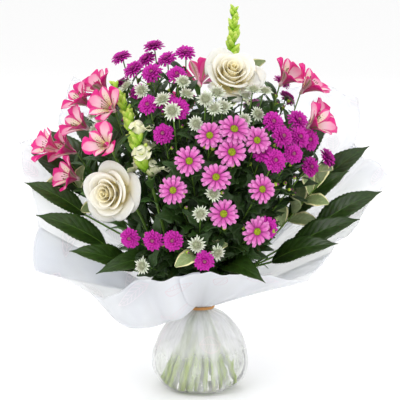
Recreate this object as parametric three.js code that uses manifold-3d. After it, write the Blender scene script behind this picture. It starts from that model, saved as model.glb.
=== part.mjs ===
// Hand-tied mixed flower bouquet in a collar of frosted film, standing on its own water bag.
// Millimetres, +Z up, the front towards -Y. The origin is the centre of the bag's flat base.
import * as THREE from 'three';
import { mergeVertices } from 'three/addons/utils/BufferGeometryUtils.js';
import Module from 'manifold-3d';

const wasm = await Module();
wasm.setup();

// ---- driving dimensions ----
const picture = { mmPerPixel: 1.2, centreColumn: 200, baseRow: 386, cameraTilt: 12 };
const dome = { centreZ: 240, halfWidth: 152, halfDepth: 140, halfHeight: 176 };
const neck = { height: 103, spread: 0.03, opening: 0.0007, slotPitch: 2.9, rings: 4 };
const stem = { radius: 1, hole: 2.4, sides: 4, foot: 6, footSpread: 3.4, turnBelow: 70, turnAbove: 24 };
const stalkRadius = 0.9;
const forkPitch = 6;
const leastLean = 0.5;
const gap = 0.3;
const sliver = 0.32;
const bag = { film: 0.8, baseRadius: 33, waterTop: 52, pleats: 7, slack: 2.6 };
const collar = {
  film: 0.8,
  innerRadius: 16.3,
  startHeight: 106.2,
  layerPitch: 1.4,
  layerDrop: 1.2,
  pleat: 0.022,
  clearance: 5,
  bellyReach: 150,
  bulge: 26,
  sag: 40,
};
const tie = { radius: 1.3, ringRadius: 16.6, flatness: 1.9, height: 102 };
// The bag's wall, from the edge of its flat base up to its neck, as radius and height.
const bagOutline = [[bag.baseRadius, 0], [52, 10], [60, 36], [52, 66], [36, 88], [14.8, 99], [14.8, 105]];

const rose = { width: 72, petals: 9, cupDrop: 1.4, room: 1.02 };
const santini = { width: 38, petals: 9, disc: 12 };
const aster = { width: 25, rays: 6 };
const astrantia = { width: 22, bracts: 6, cushion: 8 };
const alstroemeria = { length: 42, spread: 40 };
const floret = { length: 20, width: 13 };
const spike = { buds: 13, bud: 15, lastBud: 7, share: 0.52 };
const bigLeaf = { length: 92, slimness: 0.35, serrated: 0.22, rib: 1.6, rows: 7 };
const leafTurn = { up: 0.55, front: 0.85 };
const smallLeaf = { length: 40, width: 19, rib: 1.2 };

const up = new THREE.Vector3(0, 0, 1);
const towardsViewer = new THREE.Vector3(
  0,
  -Math.cos(THREE.MathUtils.degToRad(picture.cameraTilt)),
  Math.sin(THREE.MathUtils.degToRad(picture.cameraTilt)),
);

// ---- where things show in the front view, in pixels of the 400 x 400 reference picture ----
const roseFront = [113, 190];
const roseTop = [230, 74];
const spikeLeft = { foot: [158, 172], tip: [118, 85], footLift: 4, tipLift: 8 };
const spikeTop = { foot: [232, 66], tip: [234, 8], footLift: -24, tipLift: 0 };
const asterSprays = [
  [[135, 68], [122, 55], [147, 57], [154, 44], [154, 74], [140, 80]],
  [[178, 77], [168, 60], [186, 54], [170, 93], [143, 113], [180, 111], [166, 123]],
  [[295, 136], [269, 122], [276, 136], [295, 120], [307, 138], [286, 152], [311, 153], [323, 154]],
  [[259, 152], [262, 166], [266, 213]],
  [[156, 234], [134, 232], [177, 230], [204, 251]],
];
const santiniSprays = [
  [[190, 160], [175, 187], [215, 175], [209, 136]],
  [[230, 152], [231, 130], [252, 140]],
  [[222, 209], [258, 186], [252, 224]],
];
const astrantiaSprays = [
  [[106, 120], [97, 113], [94, 129], [109, 131]],
  [[145, 92], [134, 87], [161, 106]],
  [[187, 97], [180, 122], [195, 125], [184, 86]],
  [[213, 111], [205, 102], [221, 109], [215, 95], [228, 123], [241, 121]],
  [[251, 92], [244, 84], [262, 92], [257, 103]],
  [[200, 207], [211, 192], [198, 229], [217, 236], [144, 243]],
];
const alstroemeriaSprays = [
  [[88, 101], [107, 90], [117, 110], [88, 125]],
  [[74, 148], [55, 135], [76, 164], [115, 145]],
  [[302, 88], [314, 107], [309, 125], [284, 82]],
];
const backSprays = [
  { kind: 'aster', bearing: 28, tilts: [52, 64, 42] },
  { kind: 'santini', bearing: 58, tilts: [60, 46, 72] },
  { kind: 'alstroemeria', bearing: 90, tilts: [48, 64] },
  { kind: 'astrantia', bearing: 112, tilts: [58, 42, 70] },
  { kind: 'aster', bearing: 145, tilts: [58, 44, 68] },
];

// Leafy stems: bearing, the height that the stem aims for if it isn't just below the lowest tip,
// then each leaf's own tip as bearing, distance from the axis and height.
const bigLeafStems = [
  { bearing: 130, tips: [[127, 212, 352], [146, 200, 336], [104, 190, 362]] },
  { bearing: 168, tips: [[160, 198, 318], [172, 205, 296], [182, 214, 258]] },
  { bearing: 205, tips: [[196, 198, 238], [214, 178, 206], [234, 160, 182]] },
  { bearing: 268, start: 236, tips: [[233, 162, 166], [297, 160, 166], [268, 146, 176]] },
  { bearing: 335, tips: [[326, 188, 216], [340, 196, 236], [351, 216, 262]] },
  { bearing: 10, tips: [[6, 204, 306], [28, 182, 336], [356, 176, 282]] },
  { bearing: 60, tips: [[48, 200, 322], [66, 196, 346], [84, 190, 330]] },
];
const smallLeafStems = [
  { bearing: 176, reach: 156, height: 254, leaves: 5 },
  { bearing: 62, reach: 92, height: 366, leaves: 5 },
  { bearing: 348, reach: 146, height: 262, leaves: 8 },
  { bearing: 262, reach: 118, height: 196, leaves: 5 },
  { bearing: 100, reach: 140, height: 300, leaves: 5 },
];
// The film collar: one row a sheet, with the length of film past the tie at every 10 degrees of
// bearing from its first edge. Neighbours lie in two layers and are as long where they overlap.
const sheets = [
  {
    name: 'film_sheet_back_left',
    from: 80,
    layer: 0,
    lengths: [304, 303, 306, 318, 330, 352, 304, 258, 268],
  },
  {
    name: 'film_sheet_back_right',
    from: 20,
    layer: 1,
    lengths: [256, 268, 336, 350, 338, 328, 304, 303, 306],
  },
  { name: 'film_sheet_left', from: 150, layer: 1, lengths: [258, 268, 286, 240, 200, 196] },
  { name: 'film_sheet_right', from: -40, layer: 0, lengths: [168, 184, 190, 206, 262, 268, 256, 268] },
  {
    name: 'film_lobe_front_left',
    from: 190,
    layer: 0,
    lengths: [200, 196, 170, 148, 148, 146, 142, 138, 138],
  },
  { name: 'film_lobe_front_right', from: 260, layer: 1, lengths: [138, 138, 138, 140, 146, 156, 168, 184] },
];
// The collar's slope, and how far its wall bellies out and sags, at every 22.5 degrees of bearing.
const collarSlopes = [36, 41, 42, 44, 46, 46, 45, 46, 39, 17, 15, 28, 32, 30, 22, 30];
const collarBellies = [0, 0, 0, 0, 0, 0, 0, 0, 0, 0, 0.75, 0.75, 0, 0.15, 0, 0];

// ---- small vector helpers ----
function turned(bearing, radius, z) {
  const angle = THREE.MathUtils.degToRad(bearing);
  return new THREE.Vector3(radius * Math.cos(angle), radius * Math.sin(angle), z);
}

function frameAt(origin, forward, normal) {
  const y = forward.clone().normalize();
  const x = y.clone().cross(normal).normalize();
  const z = x.clone().cross(y);
  return new THREE.Matrix4().makeBasis(x, y, z).setPosition(origin);
}

// A bloom's own frame: +Z is the way the bloom faces.
function facing(origin, normal, spin) {
  const turn = new THREE.Quaternion().setFromUnitVectors(up, normal.clone().normalize());
  const own = new THREE.Quaternion().setFromAxisAngle(up, spin);
  return new THREE.Matrix4().compose(origin, turn.multiply(own), new THREE.Vector3(1, 1, 1));
}

// The dome's point under a place of the front view. Past the outline, the place itself at mid depth.
function onDome([column, row], lift = 0) {
  const across = (column - picture.centreColumn) * picture.mmPerPixel;
  const rise = (picture.baseRow - row) * picture.mmPerPixel;
  const viewUp = new THREE.Vector3(0, towardsViewer.z, -towardsViewer.y);
  const centre = new THREE.Vector3(0, 0, dome.centreZ);
  const flat = new THREE.Vector3(across, 0, 0).addScaledVector(viewUp, rise - centre.dot(viewUp));
  const halves = new THREE.Vector3(dome.halfWidth + lift, dome.halfDepth + lift, dome.halfHeight + lift);
  const from = flat.clone().divide(halves);
  const along = towardsViewer.clone().divide(halves);
  const a = along.dot(along);
  const b = from.dot(along);
  const c = from.dot(from) - 1;
  const reach = b * b - a * c > 0 ? (Math.sqrt(b * b - a * c) - b) / a : -b / a;
  const local = flat.addScaledVector(towardsViewer, reach);
  const normal = local.clone().divide(halves).divide(halves).normalize();
  return { point: local.add(centre), normal };
}

function onDomeByTilt(bearing, tilt) {
  const polar = THREE.MathUtils.degToRad(tilt);
  const local = turned(bearing, Math.sin(polar), Math.cos(polar));
  local.multiply(new THREE.Vector3(dome.halfWidth, dome.halfDepth, dome.halfHeight));
  const normal = local.clone();
  normal.set(normal.x / dome.halfWidth ** 2, normal.y / dome.halfDepth ** 2, normal.z / dome.halfHeight ** 2);
  return { point: local.add(new THREE.Vector3(0, 0, dome.centreZ)), normal: normal.normalize() };
}

// ---- solids ----
function solidOf(geometry) {
  const bare = geometry.clone();
  bare.deleteAttribute('normal');
  bare.deleteAttribute('uv');
  const merged = mergeVertices(bare, 1e-3);
  const corner = merged.index.array;
  const kept = [];
  for (let i = 0; i < corner.length; i += 3) {
    const [a, b, c] = [corner[i], corner[i + 1], corner[i + 2]];
    if (a !== b && b !== c && c !== a) kept.push(a, b, c);
  }
  return new wasm.Manifold(new wasm.Mesh({
    numProp: 3,
    vertProperties: Float32Array.from(merged.attributes.position.array),
    triVerts: Uint32Array.from(kept),
  }));
}

function geometryOf(solid) {
  const mesh = solid.getMesh();
  const geometry = new THREE.BufferGeometry();
  geometry.setAttribute('position', new THREE.BufferAttribute(Float32Array.from(mesh.vertProperties), 3));
  geometry.setIndex(new THREE.BufferAttribute(Uint32Array.from(mesh.triVerts), 1));
  return geometry;
}

// A sheet with thickness, from a plane laid through place(u, v). Both faces are split alike.
// Where the thickness falls to nothing at an edge, the two faces meet in it.
function thickSheet(columns, rows, place, thickness) {
  const front = new THREE.PlaneGeometry(1, 1, columns, rows);
  const spot = front.attributes.position;
  const grid = [];
  for (let i = 0; i < spot.count; i += 1) {
    grid.push([spot.getX(i) + 0.5, spot.getY(i) + 0.5]);
    const at = place(grid[i][0], grid[i][1]);
    spot.setXYZ(i, at.x, at.y, at.z);
  }
  front.computeVertexNormals();
  const normal = front.attributes.normal;
  const count = spot.count;
  const points = Array.from(spot.array);
  for (let i = 0; i < count; i += 1) {
    const t = thickness(grid[i][0], grid[i][1]);
    points.push(spot.getX(i) - normal.getX(i) * t, spot.getY(i) - normal.getY(i) * t);
    points.push(spot.getZ(i) - normal.getZ(i) * t);
  }
  const faces = Array.from(front.index.array);
  const inner = faces.slice();
  for (let i = 0; i < inner.length; i += 3) {
    faces.push(inner[i] + count, inner[i + 2] + count, inner[i + 1] + count);
  }
  const wide = columns + 1;
  const loop = [];
  for (let i = 0; i < columns; i += 1) loop.push(rows * wide + i);
  for (let j = rows; j > 0; j -= 1) loop.push(j * wide + columns);
  for (let i = columns; i > 0; i -= 1) loop.push(i);
  for (let j = 0; j < rows; j += 1) loop.push(j * wide);
  loop.forEach((p, i) => {
    const q = loop[(i + 1) % loop.length];
    faces.push(q, p, p + count, q, p + count, q + count);
  });
  const geometry = new THREE.BufferGeometry();
  geometry.setAttribute('position', new THREE.BufferAttribute(Float32Array.from(points), 3));
  geometry.setIndex(faces);
  return geometry;
}

function ngon(radius, sides) {
  const shape = new THREE.Shape();
  for (let i = 0; i < sides; i += 1) {
    const angle = (i / sides) * Math.PI * 2;
    const [x, y] = [radius * Math.cos(angle), radius * Math.sin(angle)];
    if (i === 0) shape.moveTo(x, y);
    else shape.lineTo(x, y);
  }
  shape.closePath();
  return shape;
}

function tube(curve, radius, sides, steps) {
  const settings = { steps, extrudePath: curve, curveSegments: 1 };
  return solidOf(new THREE.ExtrudeGeometry(ngon(radius, sides), settings));
}

// A turned profile whose columns are drawn in by a formula, so that the rim breaks into petals.
function petalledLathe(profile, columns, form) {
  const geometry = new THREE.LatheGeometry(profile.map(([r, z]) => new THREE.Vector2(r, z)), columns);
  geometry.rotateX(Math.PI / 2);
  const spot = geometry.attributes.position;
  for (let i = 0; i < spot.count; i += 1) {
    const ring = i % profile.length;
    const column = Math.floor(i / profile.length) % columns;
    const [scale, lift] = form(ring, column);
    spot.setXYZ(i, spot.getX(i) * scale, spot.getY(i) * scale, spot.getZ(i) + lift);
  }
  return geometry;
}

// ---- blooms, each in its own frame, facing +Z ----
// A bloom on its stalk, as one turned profile: a three-sided stalk from its end on the stem up to
// the bloom's underside, then the bloom's own rings.
function stalkedBloom(rings, columns, form, stalkEnd) {
  const underside = -4;
  const profile = [[0, 0], [stalkRadius, 0], [stalkRadius, underside], ...rings];
  const geometry = petalledLathe(profile, columns, (ring, column) => {
    return ring < 3 ? [1, 0] : form(ring - 3, column);
  });
  const spot = geometry.attributes.position;
  for (let i = 0; i < spot.count; i += 1) {
    const ring = i % profile.length;
    const column = Math.floor(i / profile.length) % columns;
    const corner = (Math.floor((column * 3) / columns) * Math.PI * 2) / 3;
    const [x, y] = [stalkRadius * Math.sin(corner), -stalkRadius * Math.cos(corner)];
    if (ring === 0) spot.setXYZ(i, stalkEnd.x, stalkEnd.y, stalkEnd.z);
    if (ring === 1) spot.setXYZ(i, stalkEnd.x + x, stalkEnd.y + y, stalkEnd.z);
    if (ring === 2) spot.setXYZ(i, x, y, underside);
  }
  return geometry;
}

function santiniBloom(stalkEnd) {
  const rings = [[santini.width / 2, 1.5], [santini.disc / 2, 0.8], [0, 3.4]];
  return stalkedBloom(rings, santini.petals * 2, (ring, column) => {
    if (ring > 0) return [1, 0];
    return column % 2 ? [0.5, -1.2] : [1, 0];
  }, stalkEnd);
}

function asterBloom(stalkEnd) {
  const r = aster.width / 2;
  return stalkedBloom([[r, 0], [r * 0.72, 5], [0, 4.2]], aster.rays * 2, (ring, column) => {
    const outer = column % 2 === 0;
    if (ring === 0) return outer ? [1, 0] : [0.5, 0];
    if (ring === 1) return outer ? [0.42, -1.6] : [1, 0];
    return [1, 0];
  }, stalkEnd);
}

function astrantiaBloom(stalkEnd) {
  const rings = [[astrantia.width / 2, 1.4], [astrantia.cushion / 2, 2.4], [0, 5]];
  return stalkedBloom(rings, astrantia.bracts * 2, (ring, column) => {
    if (ring === 0) return column % 2 === 0 ? [1, 0] : [0.5, -0.8];
    if (ring === 1) return column % 2 === 0 ? [0.7, -1] : [1, 1];
    return [1, 0];
  }, stalkEnd);
}

function alstroemeriaBloom(stalkEnd) {
  const { length, spread } = alstroemeria;
  const rings = [[length * 0.1, 1], [spread / 2, length * 0.5], [0, length * 0.16]];
  return stalkedBloom(rings, 18, (ring, column) => {
    if (ring !== 1) return [1, 0];
    const narrow = Math.floor(column / 3) % 2;
    return column % 3 === 0 ? [0.34, -length * 0.22] : [narrow ? 0.86 : 1, narrow * length * 0.12];
  }, stalkEnd);
}

function roseHead() {
  const r = rose.width / 2;
  const parts = [];
  const heart = new THREE.SphereGeometry(r * 0.42, 7, 4);
  heart.rotateX(Math.PI / 2);
  heart.scale(1, 1, 1.15);
  parts.push(solidOf(heart));
  for (let i = 0; i < rose.petals; i += 1) {
    const layer = Math.floor(i / 3);
    const opening = [0.5, 0.74, 1][layer];
    const angle = i * ((2 * Math.PI) / 3) + layer * 0.9;
    const petal = thickSheet(2, 2, (u, v) => {
      const side = (u * 2 - 1) * (0.36 + 0.62 * v * (1.28 - v)) * (0.85 + 0.2 * layer);
      const out = r * (0.18 + opening * (0.46 * v + 0.36 * v * v)) * Math.cos(side * 0.8);
      const height = r * (-0.55 + (1.22 - 0.3 * layer) * v) - r * 0.12 * side * side * v;
      return new THREE.Vector3(out * Math.tan(side), out, height);
    }, (u, v) => (u === 0.5 && v < 1 ? 1.8 : 0));
    petal.rotateZ(angle);
    parts.push(solidOf(petal));
  }
  return geometryOf(wasm.Manifold.union(parts));
}

// The plainest petal: an octahedron drawn out along +Y, widest at the shoulder, root at the origin.
function kite(length, width, thickness, shoulder) {
  const geometry = new THREE.OctahedronGeometry(1);
  const spot = geometry.attributes.position;
  for (let i = 0; i < spot.count; i += 1) {
    const [x, y, z] = [spot.getX(i), spot.getY(i), spot.getZ(i)];
    const along = Math.abs(y) > 0.5 ? (y + 1) / 2 : shoulder;
    spot.setXYZ(i, (x * width) / 2, length * along, (z * thickness) / 2);
  }
  return geometry;
}

// ---- leaves, root at the origin, tip along +Y, upper face +Z ----
function leafBlade({ length, width, petiole = 0, serrated = 0, rib, arch = 0.1, rows = 5, wave = 0 }) {
  const fold = 0.25;
  return thickSheet(2, rows, (u, v) => {
    const across = u * 2 - 1;
    const row = Math.round(v * rows);
    const stalked = petiole > 0 ? 1 : 0;
    const share = Math.max(row - stalked, 0) / (rows - stalked);
    const tooth = serrated && row % 2 ? 1 - serrated : 1;
    const body = Math.sin(Math.PI * Math.min(1, 0.04 + 0.94 * share ** 0.85)) * tooth;
    const half = Math.max(stalkRadius, (width / 2) * body);
    const ripple = wave * width * Math.sin(share * 9 + across) * Math.abs(across);
    const bend = 4 * arch * length * share * (1 - share) + fold * half * Math.abs(across) + ripple;
    const along = row === 0 ? 0 : petiole + length * share;
    return new THREE.Vector3(across * half * (share === 1 ? 0.2 : 1), along, bend);
  }, (u, v) => (v === 1 ? 0 : u === 0.5 ? rib : 0));
}

// ---- stems: every stem keeps its place (x, y) in the tie's round slot plan, and the plan grows
// and turns with height, so that no two stems meet. Below the tie the stems run straight. ----
function planAt(z) {
  const above = z - neck.height;
  if (above >= 0) {
    const grown = 1 + neck.spread * above + neck.opening * above * above;
    const turn = THREE.MathUtils.degToRad(stem.turnAbove) * Math.min(above / 70, 1);
    return new THREE.Vector2(grown * Math.cos(turn), grown * Math.sin(turn));
  }
  const share = above / (stem.foot - neck.height);
  const turn = THREE.MathUtils.degToRad(-stem.turnBelow);
  const foot = new THREE.Vector2(stem.footSpread * Math.cos(turn), stem.footSpread * Math.sin(turn));
  return new THREE.Vector2(1, 0).lerp(foot, share);
}

function stemPoint(slot, z) {
  const plan = planAt(z);
  return new THREE.Vector3(slot.x * plan.x - slot.y * plan.y, slot.x * plan.y + slot.y * plan.x, z);
}

// The place in the slot plan of a stem that leans towards a point: the further out, the nearer the rim.
function slotUnder(point) {
  const out = Math.min(Math.hypot(point.x, point.y) / dome.halfWidth, 1) * neck.slotPitch * neck.rings;
  const bearing = Math.atan2(point.y, point.x) - THREE.MathUtils.degToRad(stem.turnAbove);
  return new THREE.Vector2(out * Math.cos(bearing), out * Math.sin(bearing));
}

// How high a stem runs before its branches leave it: no further out than half way to its blooms,
// and inside the film collar.
function forkHeight(slot, point, share) {
  const growth = (0.5 * Math.hypot(point.x, point.y)) / Math.max(slot.length(), 1);
  const rise = Math.sqrt(neck.spread ** 2 + 4 * neck.opening * Math.max(growth - 1, 0)) - neck.spread;
  const widest = neck.height + rise / (2 * neck.opening);
  let top = Math.max(neck.height + 34, Math.min(widest, neck.height + share * (point.z - neck.height)));
  while (top > neck.height + 24 && !insideCollar(stemPoint(slot, top))) top -= 3;
  return top;
}

function insideCollar(point) {
  const bearing = THREE.MathUtils.radToDeg(Math.atan2(point.y, point.x));
  const out = Math.hypot(point.x, point.y) - collar.innerRadius;
  return point.z > collar.startHeight + (out + collar.clearance) * Math.tan(collarSlope(bearing));
}

// A stem's line, sampled at the same heights on every stem.
class StemLine extends THREE.Curve {
  constructor(slot, heights) {
    super();
    this.slot = slot;
    this.heights = heights;
  }

  getPoint(t, target = new THREE.Vector3()) {
    const step = Math.min(t * (this.heights.length - 1), this.heights.length - 1.000001);
    const low = Math.floor(step);
    const from = stemPoint(this.slot, this.heights[low]);
    return target.copy(from.lerp(stemPoint(this.slot, this.heights[low + 1]), step - low));
  }

  getPointAt(t, target) {
    return this.getPoint(t, target);
  }

  atHeight(z) {
    const low = this.heights.findIndex((height) => height >= z) - 1;
    const [from, to] = [this.heights[low], this.heights[low + 1]];
    return stemPoint(this.slot, from).lerp(stemPoint(this.slot, to), (z - from) / (to - from));
  }

  getTangentAt(t, target) {
    return this.getTangent(t, target);
  }
}

function slotPlan() {
  const slots = [new THREE.Vector2()];
  for (let ring = 1; ring <= neck.rings; ring += 1) {
    for (let k = 0; k < ring * 6; k += 1) {
      const angle = (k / (ring * 6)) * Math.PI * 2 + ring * 0.3;
      slots.push(new THREE.Vector2(Math.cos(angle), Math.sin(angle)).multiplyScalar(ring * neck.slotPitch));
    }
  }
  return slots;
}

const freeSlots = slotPlan();

function takeSlot(wish) {
  freeSlots.sort((a, b) => a.distanceTo(wish) - b.distanceTo(wish));
  return freeSlots.shift();
}

function stemLine(slot, top) {
  const heights = [stem.foot, neck.height, 114, 134].filter((z) => z < top - 8);
  return new StemLine(slot, [...heights, top]);
}

function stemHole(slot) {
  const line = new StemLine(slot, [stem.foot - gap, bag.waterTop + 4]);
  return tube(line, stem.hole, stem.sides, 1);
}

// ---- keeping clear: a piece of one node is tried in a few places until it meets no other node ----
const placed = [];

function boxesNear(a, b) {
  return [0, 1, 2].every((k) => a.min[k] < b.max[k] + gap && b.min[k] < a.max[k] + gap);
}

function isClear(solid, node) {
  const box = solid.boundingBox();
  return placed.every((other) => other.node === node || !boxesNear(box, other.box)
    || other.solid.minGap(solid, 2 * gap) > gap);
}

function settle(node, solid) {
  placed.push({ node, solid, box: solid.boundingBox() });
  return solid;
}

// Tries makeSolid(0), makeSolid(1), ... and settles the first that is clear, or nothing.
function settleClear(node, tries, makeSolid) {
  for (let i = 0; i < tries; i += 1) {
    const solid = makeSolid(i);
    if (solid && isClear(solid, node)) return settle(node, solid);
  }
  return null;
}

// ---- materials, with the colours of the picture ----
function plain(colour, roughness, extra = {}) {
  return new THREE.MeshStandardMaterial({ color: colour, roughness, metalness: 0, ...extra });
}

const looks = {
  ivory: plain('#F1ECD9', 0.6),
  green: plain('#4F7A2C', 0.6),
  darkGreen: plain('#2B441B', 0.45),
  lime: plain('#9BC63C', 0.6),
  cream: plain('#EEF0CF', 0.6),
  pink: plain('#E77BD0', 0.6),
  magenta: plain('#B5109C', 0.65),
  greenWhite: plain('#DDE5CC', 0.65),
  hotPink: plain('#F0509F', 0.55),
  greyGreen: plain('#8C9C6C', 0.55),
  film: plain('#EEF0F4', 0.35, { transparent: true, opacity: 0.75 }),
  water: plain('#DCE8D8', 0.05, { transparent: true, opacity: 0.4 }),
  raffia: plain('#C98B4A', 0.7),
};

const bouquet = new THREE.Group();

// Fusing can seal a hollow or leave a scrap: only the outer body stays.
function addNode(name, solid, material) {
  const body = keepLargest(solid);
  const lean = material.transparent ? body : keepLargest(body.simplify(sliver));
  const mesh = new THREE.Mesh(geometryOf(lean), material);
  mesh.name = name;
  bouquet.add(mesh);
}

// ---- sprays ----
const kinds = {
  aster: { bloom: asterBloom, material: looks.magenta },
  santini: { bloom: santiniBloom, material: looks.pink },
  astrantia: { bloom: astrantiaBloom, material: looks.greenWhite },
  alstroemeria: { bloom: alstroemeriaBloom, material: looks.hotPink },
};

function bloomPose(spot, k) {
  const normal = spot.normal.clone().multiplyScalar(0.8);
  if (spot.point.y < 30) normal.addScaledVector(towardsViewer, 0.35);
  normal.addScaledVector(up, 0.12);
  normal.normalize();
  return { point: spot.point.clone(), normal, spin: k * 0.7 };
}

// A stem is planted first, under the middle of what it carries. Its blooms and leaves grow once
// every stem stands.
const beds = [];

function plant(name, centre, share, grow, radius = stem.radius) {
  const slot = takeSlot(slotUnder(centre));
  const top = forkHeight(slot, centre, share);
  const line = stemLine(slot, top);
  const stemPart = settle(name, tube(line, radius, stem.sides, line.heights.length - 1));
  beds.push({ slot, grow: () => grow({ name, line, top, parts: [stemPart] }) });
}

function growBlooms({ name, line, top, parts }, kind, spots) {
  const { bloom, material } = kinds[kind];
  const blooms = [];
  spots.forEach((spot, k) => {
    const pose = bloomPose(spot, k);
    const solid = settleClear(name, 36, (i) => {
      const sidestep = new THREE.Vector3(Math.cos(i * 2.4), 0, Math.sin(i * 2.4)).multiplyScalar(0.8 * i);
      const lift = i ? ((i % 3) - 1) * 5 : 0;
      const point = pose.point.clone().addScaledVector(pose.normal, lift).add(sidestep);
      const from = line.atHeight(top - 3 - forkPitch * k - (i % 4) * 2);
      const lean = point.clone().sub(from).normalize();
      const normal = pose.normal.clone();
      while (normal.dot(lean) < leastLean) normal.addScaledVector(lean, 0.1).normalize();
      const place = facing(point, normal, pose.spin);
      const stalkEnd = from.clone().applyMatrix4(place.clone().invert());
      const whole = solidOf(bloom(stalkEnd).applyMatrix4(place));
      const crowded = i < 15 && blooms.some((other) => other.minGap(whole, 2 * gap) < gap);
      return crowded ? null : whole;
    });
    if (solid) blooms.push(solid);
  });
  addNode(name, wasm.Manifold.union([...parts, ...blooms]), material);
}

function spray(name, kind, spots) {
  const centre = spots.reduce((sum, s) => sum.add(s.point), new THREE.Vector3());
  plant(name, centre.divideScalar(spots.length), 0.56, (bed) => growBlooms(bed, kind, spots));
}

// ---- leafy stems ----
// Leaves turn their upper faces up and to the front, the side that the bunch is made to be seen from.
function leafFace(out, inward) {
  const outward = new THREE.Vector3(out.x, out.y, 0).normalize();
  const face = up.clone().multiplyScalar(leafTurn.up).addScaledVector(towardsViewer, leafTurn.front);
  return face.addScaledVector(outward, -inward);
}

function leafFrame(root, tip) {
  return frameAt(root, tip.clone().sub(root), leafFace(root.clone().add(tip), 0.1));
}

function bigLeafStem(name, { bearing, start, tips }) {
  const low = Math.min(...tips.map(([, , height]) => height));
  plant(name, turned(bearing, 120, start ?? low - 20), 0.5, ({ line, top, parts }) => {
    tips.forEach(([tipBearing, reach, height], k) => {
      const solid = settleClear(name, 60, (i) => {
        const swing = i ? ((i * 5) % 19) - 9 : 0;
        const tip = turned(tipBearing + swing, reach - 3 * (i % 4), height + 5 * ((i % 7) - 2));
        const join = line.atHeight(top - 2 - 7 * k - 3 * (i % 3));
        const along = tip.clone().sub(join);
        const length = Math.min(bigLeaf.length, along.length() * 0.75) * (1 - 0.05 * (i % 4));
        const petiole = along.length() - length;
        const blade = leafBlade({ ...bigLeaf, length, petiole, width: length * bigLeaf.slimness });
        return solidOf(blade.applyMatrix4(leafFrame(join, tip)));
      });
      if (solid) parts.push(solid);
    });
    addNode(name, wasm.Manifold.union(parts), looks.darkGreen);
  });
}

function smallLeafStem(name, { bearing, reach, height, leaves }) {
  plant(name, turned(bearing, reach, height), 0.6, ({ line, top, parts }) => {
    const twig = new THREE.LineCurve3(line.atHeight(top - 2), new THREE.Vector3());
    const twigPart = settleClear(name, 60, (i) => {
      const swing = i ? ((i * 7) % 41) - 20 : 0;
      twig.v2 = turned(bearing + swing, reach - 4 * (i % 3), height + 6 * (i % 5));
      return tube(twig, stalkRadius, 4, 1);
    });
    if (twigPart) parts.push(twigPart);
    for (let k = 0; k < (twigPart ? leaves : 0); k += 1) {
      const share = 1 - (0.7 * k) / leaves;
      const solid = settleClear(name, 8, (i) => growSmallLeaf(twig, share, k * 2.4 + i * 0.5, k, i));
      if (solid) parts.push(solid);
    }
    addNode(name, wasm.Manifold.union(parts), looks.greyGreen);
  });
}

function growSmallLeaf(twig, share, turnBy, k, attempt) {
  const root = twig.getPoint(share);
  const forward = twig.getTangent(share);
  const side = forward.clone().cross(up).normalize().applyAxisAngle(forward, turnBy);
  const out = forward.clone().multiplyScalar(0.7).add(side).normalize();
  const length = smallLeaf.length * (k < 2 ? 1.15 : 0.9) * (1 - 0.07 * attempt);
  const blade = leafBlade({ ...smallLeaf, length, arch: 0.12, rows: 2, wave: 0.05 });
  return solidOf(blade.applyMatrix4(frameAt(root, out, leafFace(out, 0.4))));
}

// ---- roses and snapdragons ----
function keepLargest(solid) {
  return solid.decompose().sort((a, b) => b.volume() - a.volume())[0];
}

function roseStemAndBloom(name, seenAt, spin) {
  const spot = onDome(seenAt, -4);
  const normal = spot.normal.clone().addScaledVector(towardsViewer, 0.45).normalize();
  const place = facing(spot.point, normal, spin);
  const bloom = solidOf(roseHead().applyMatrix4(place));
  const room = solidOf(roseHead().scale(rose.room, rose.room, rose.room).applyMatrix4(place));
  addNode(`${name}_bloom`, settle(`${name}_stem`, bloom), looks.ivory);
  plant(`${name}_stem`, spot.point, 0.5, ({ line, top, parts }) => {
    const cupPoint = spot.point.clone().addScaledVector(normal, -rose.width * 0.3 - rose.cupDrop);
    const bend = cupPoint.clone().addScaledVector(normal, -34);
    parts.push(tube(new THREE.QuadraticBezierCurve3(line.atHeight(top - 2), bend, cupPoint), 1.8, 4, 3));
    const cup = new THREE.SphereGeometry(6.5, 6, 3);
    cup.translate(cupPoint.x, cupPoint.y, cupPoint.z);
    parts.push(solidOf(cup));
    for (let k = 0; k < 5; k += 1) {
      const sepal = kite(18, 7, 1.6, 0.5);
      sepal.rotateX(-0.4);
      sepal.rotateZ(k * 1.257);
      parts.push(solidOf(sepal.applyMatrix4(facing(cupPoint, normal, 0))));
    }
    const green = keepLargest(wasm.Manifold.union(parts).subtract(room));
    addNode(`${name}_stem`, settle(`${name}_stem`, green), looks.green);
  }, 1.2);
}

function snapdragon(name, { foot, tip, footLift, tipLift }, openFlorets) {
  const low = onDome(foot, footLift).point;
  const high = onDome(tip, tipLift).point;
  plant(name, low, 0.55, ({ line, top, parts }) => {
    const bend = low.clone().lerp(high, 0.1);
    const rachis = new THREE.QuadraticBezierCurve3(line.atHeight(top - 2), bend, high);
    parts.push(tube(rachis, 1.5, 4, 5));
    for (let k = 0; k < spike.buds; k += 1) {
      const share = k / (spike.buds - 1);
      const open = k < openFlorets;
      const size = open ? floret.length : THREE.MathUtils.lerp(spike.bud, spike.lastBud, share);
      const along = 1 - spike.share * (1 - share);
      const forward = rachis.getTangent(along);
      const side = forward.clone().cross(towardsViewer).normalize().applyAxisAngle(forward, k * 2.4);
      const out = forward.clone().multiplyScalar(open ? 0.35 : 0.9).add(side);
      const width = open ? floret.width : size * 0.66;
      const blade = kite(size, width, open ? 5 : size * 0.5, 0.6);
      blade.translate(0, -1.5, 0);
      parts.push(solidOf(blade.applyMatrix4(frameAt(rachis.getPoint(along), out, forward))));
    }
    addNode(name, settle(name, wasm.Manifold.union(parts)), looks.lime);
  });
}

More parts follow.
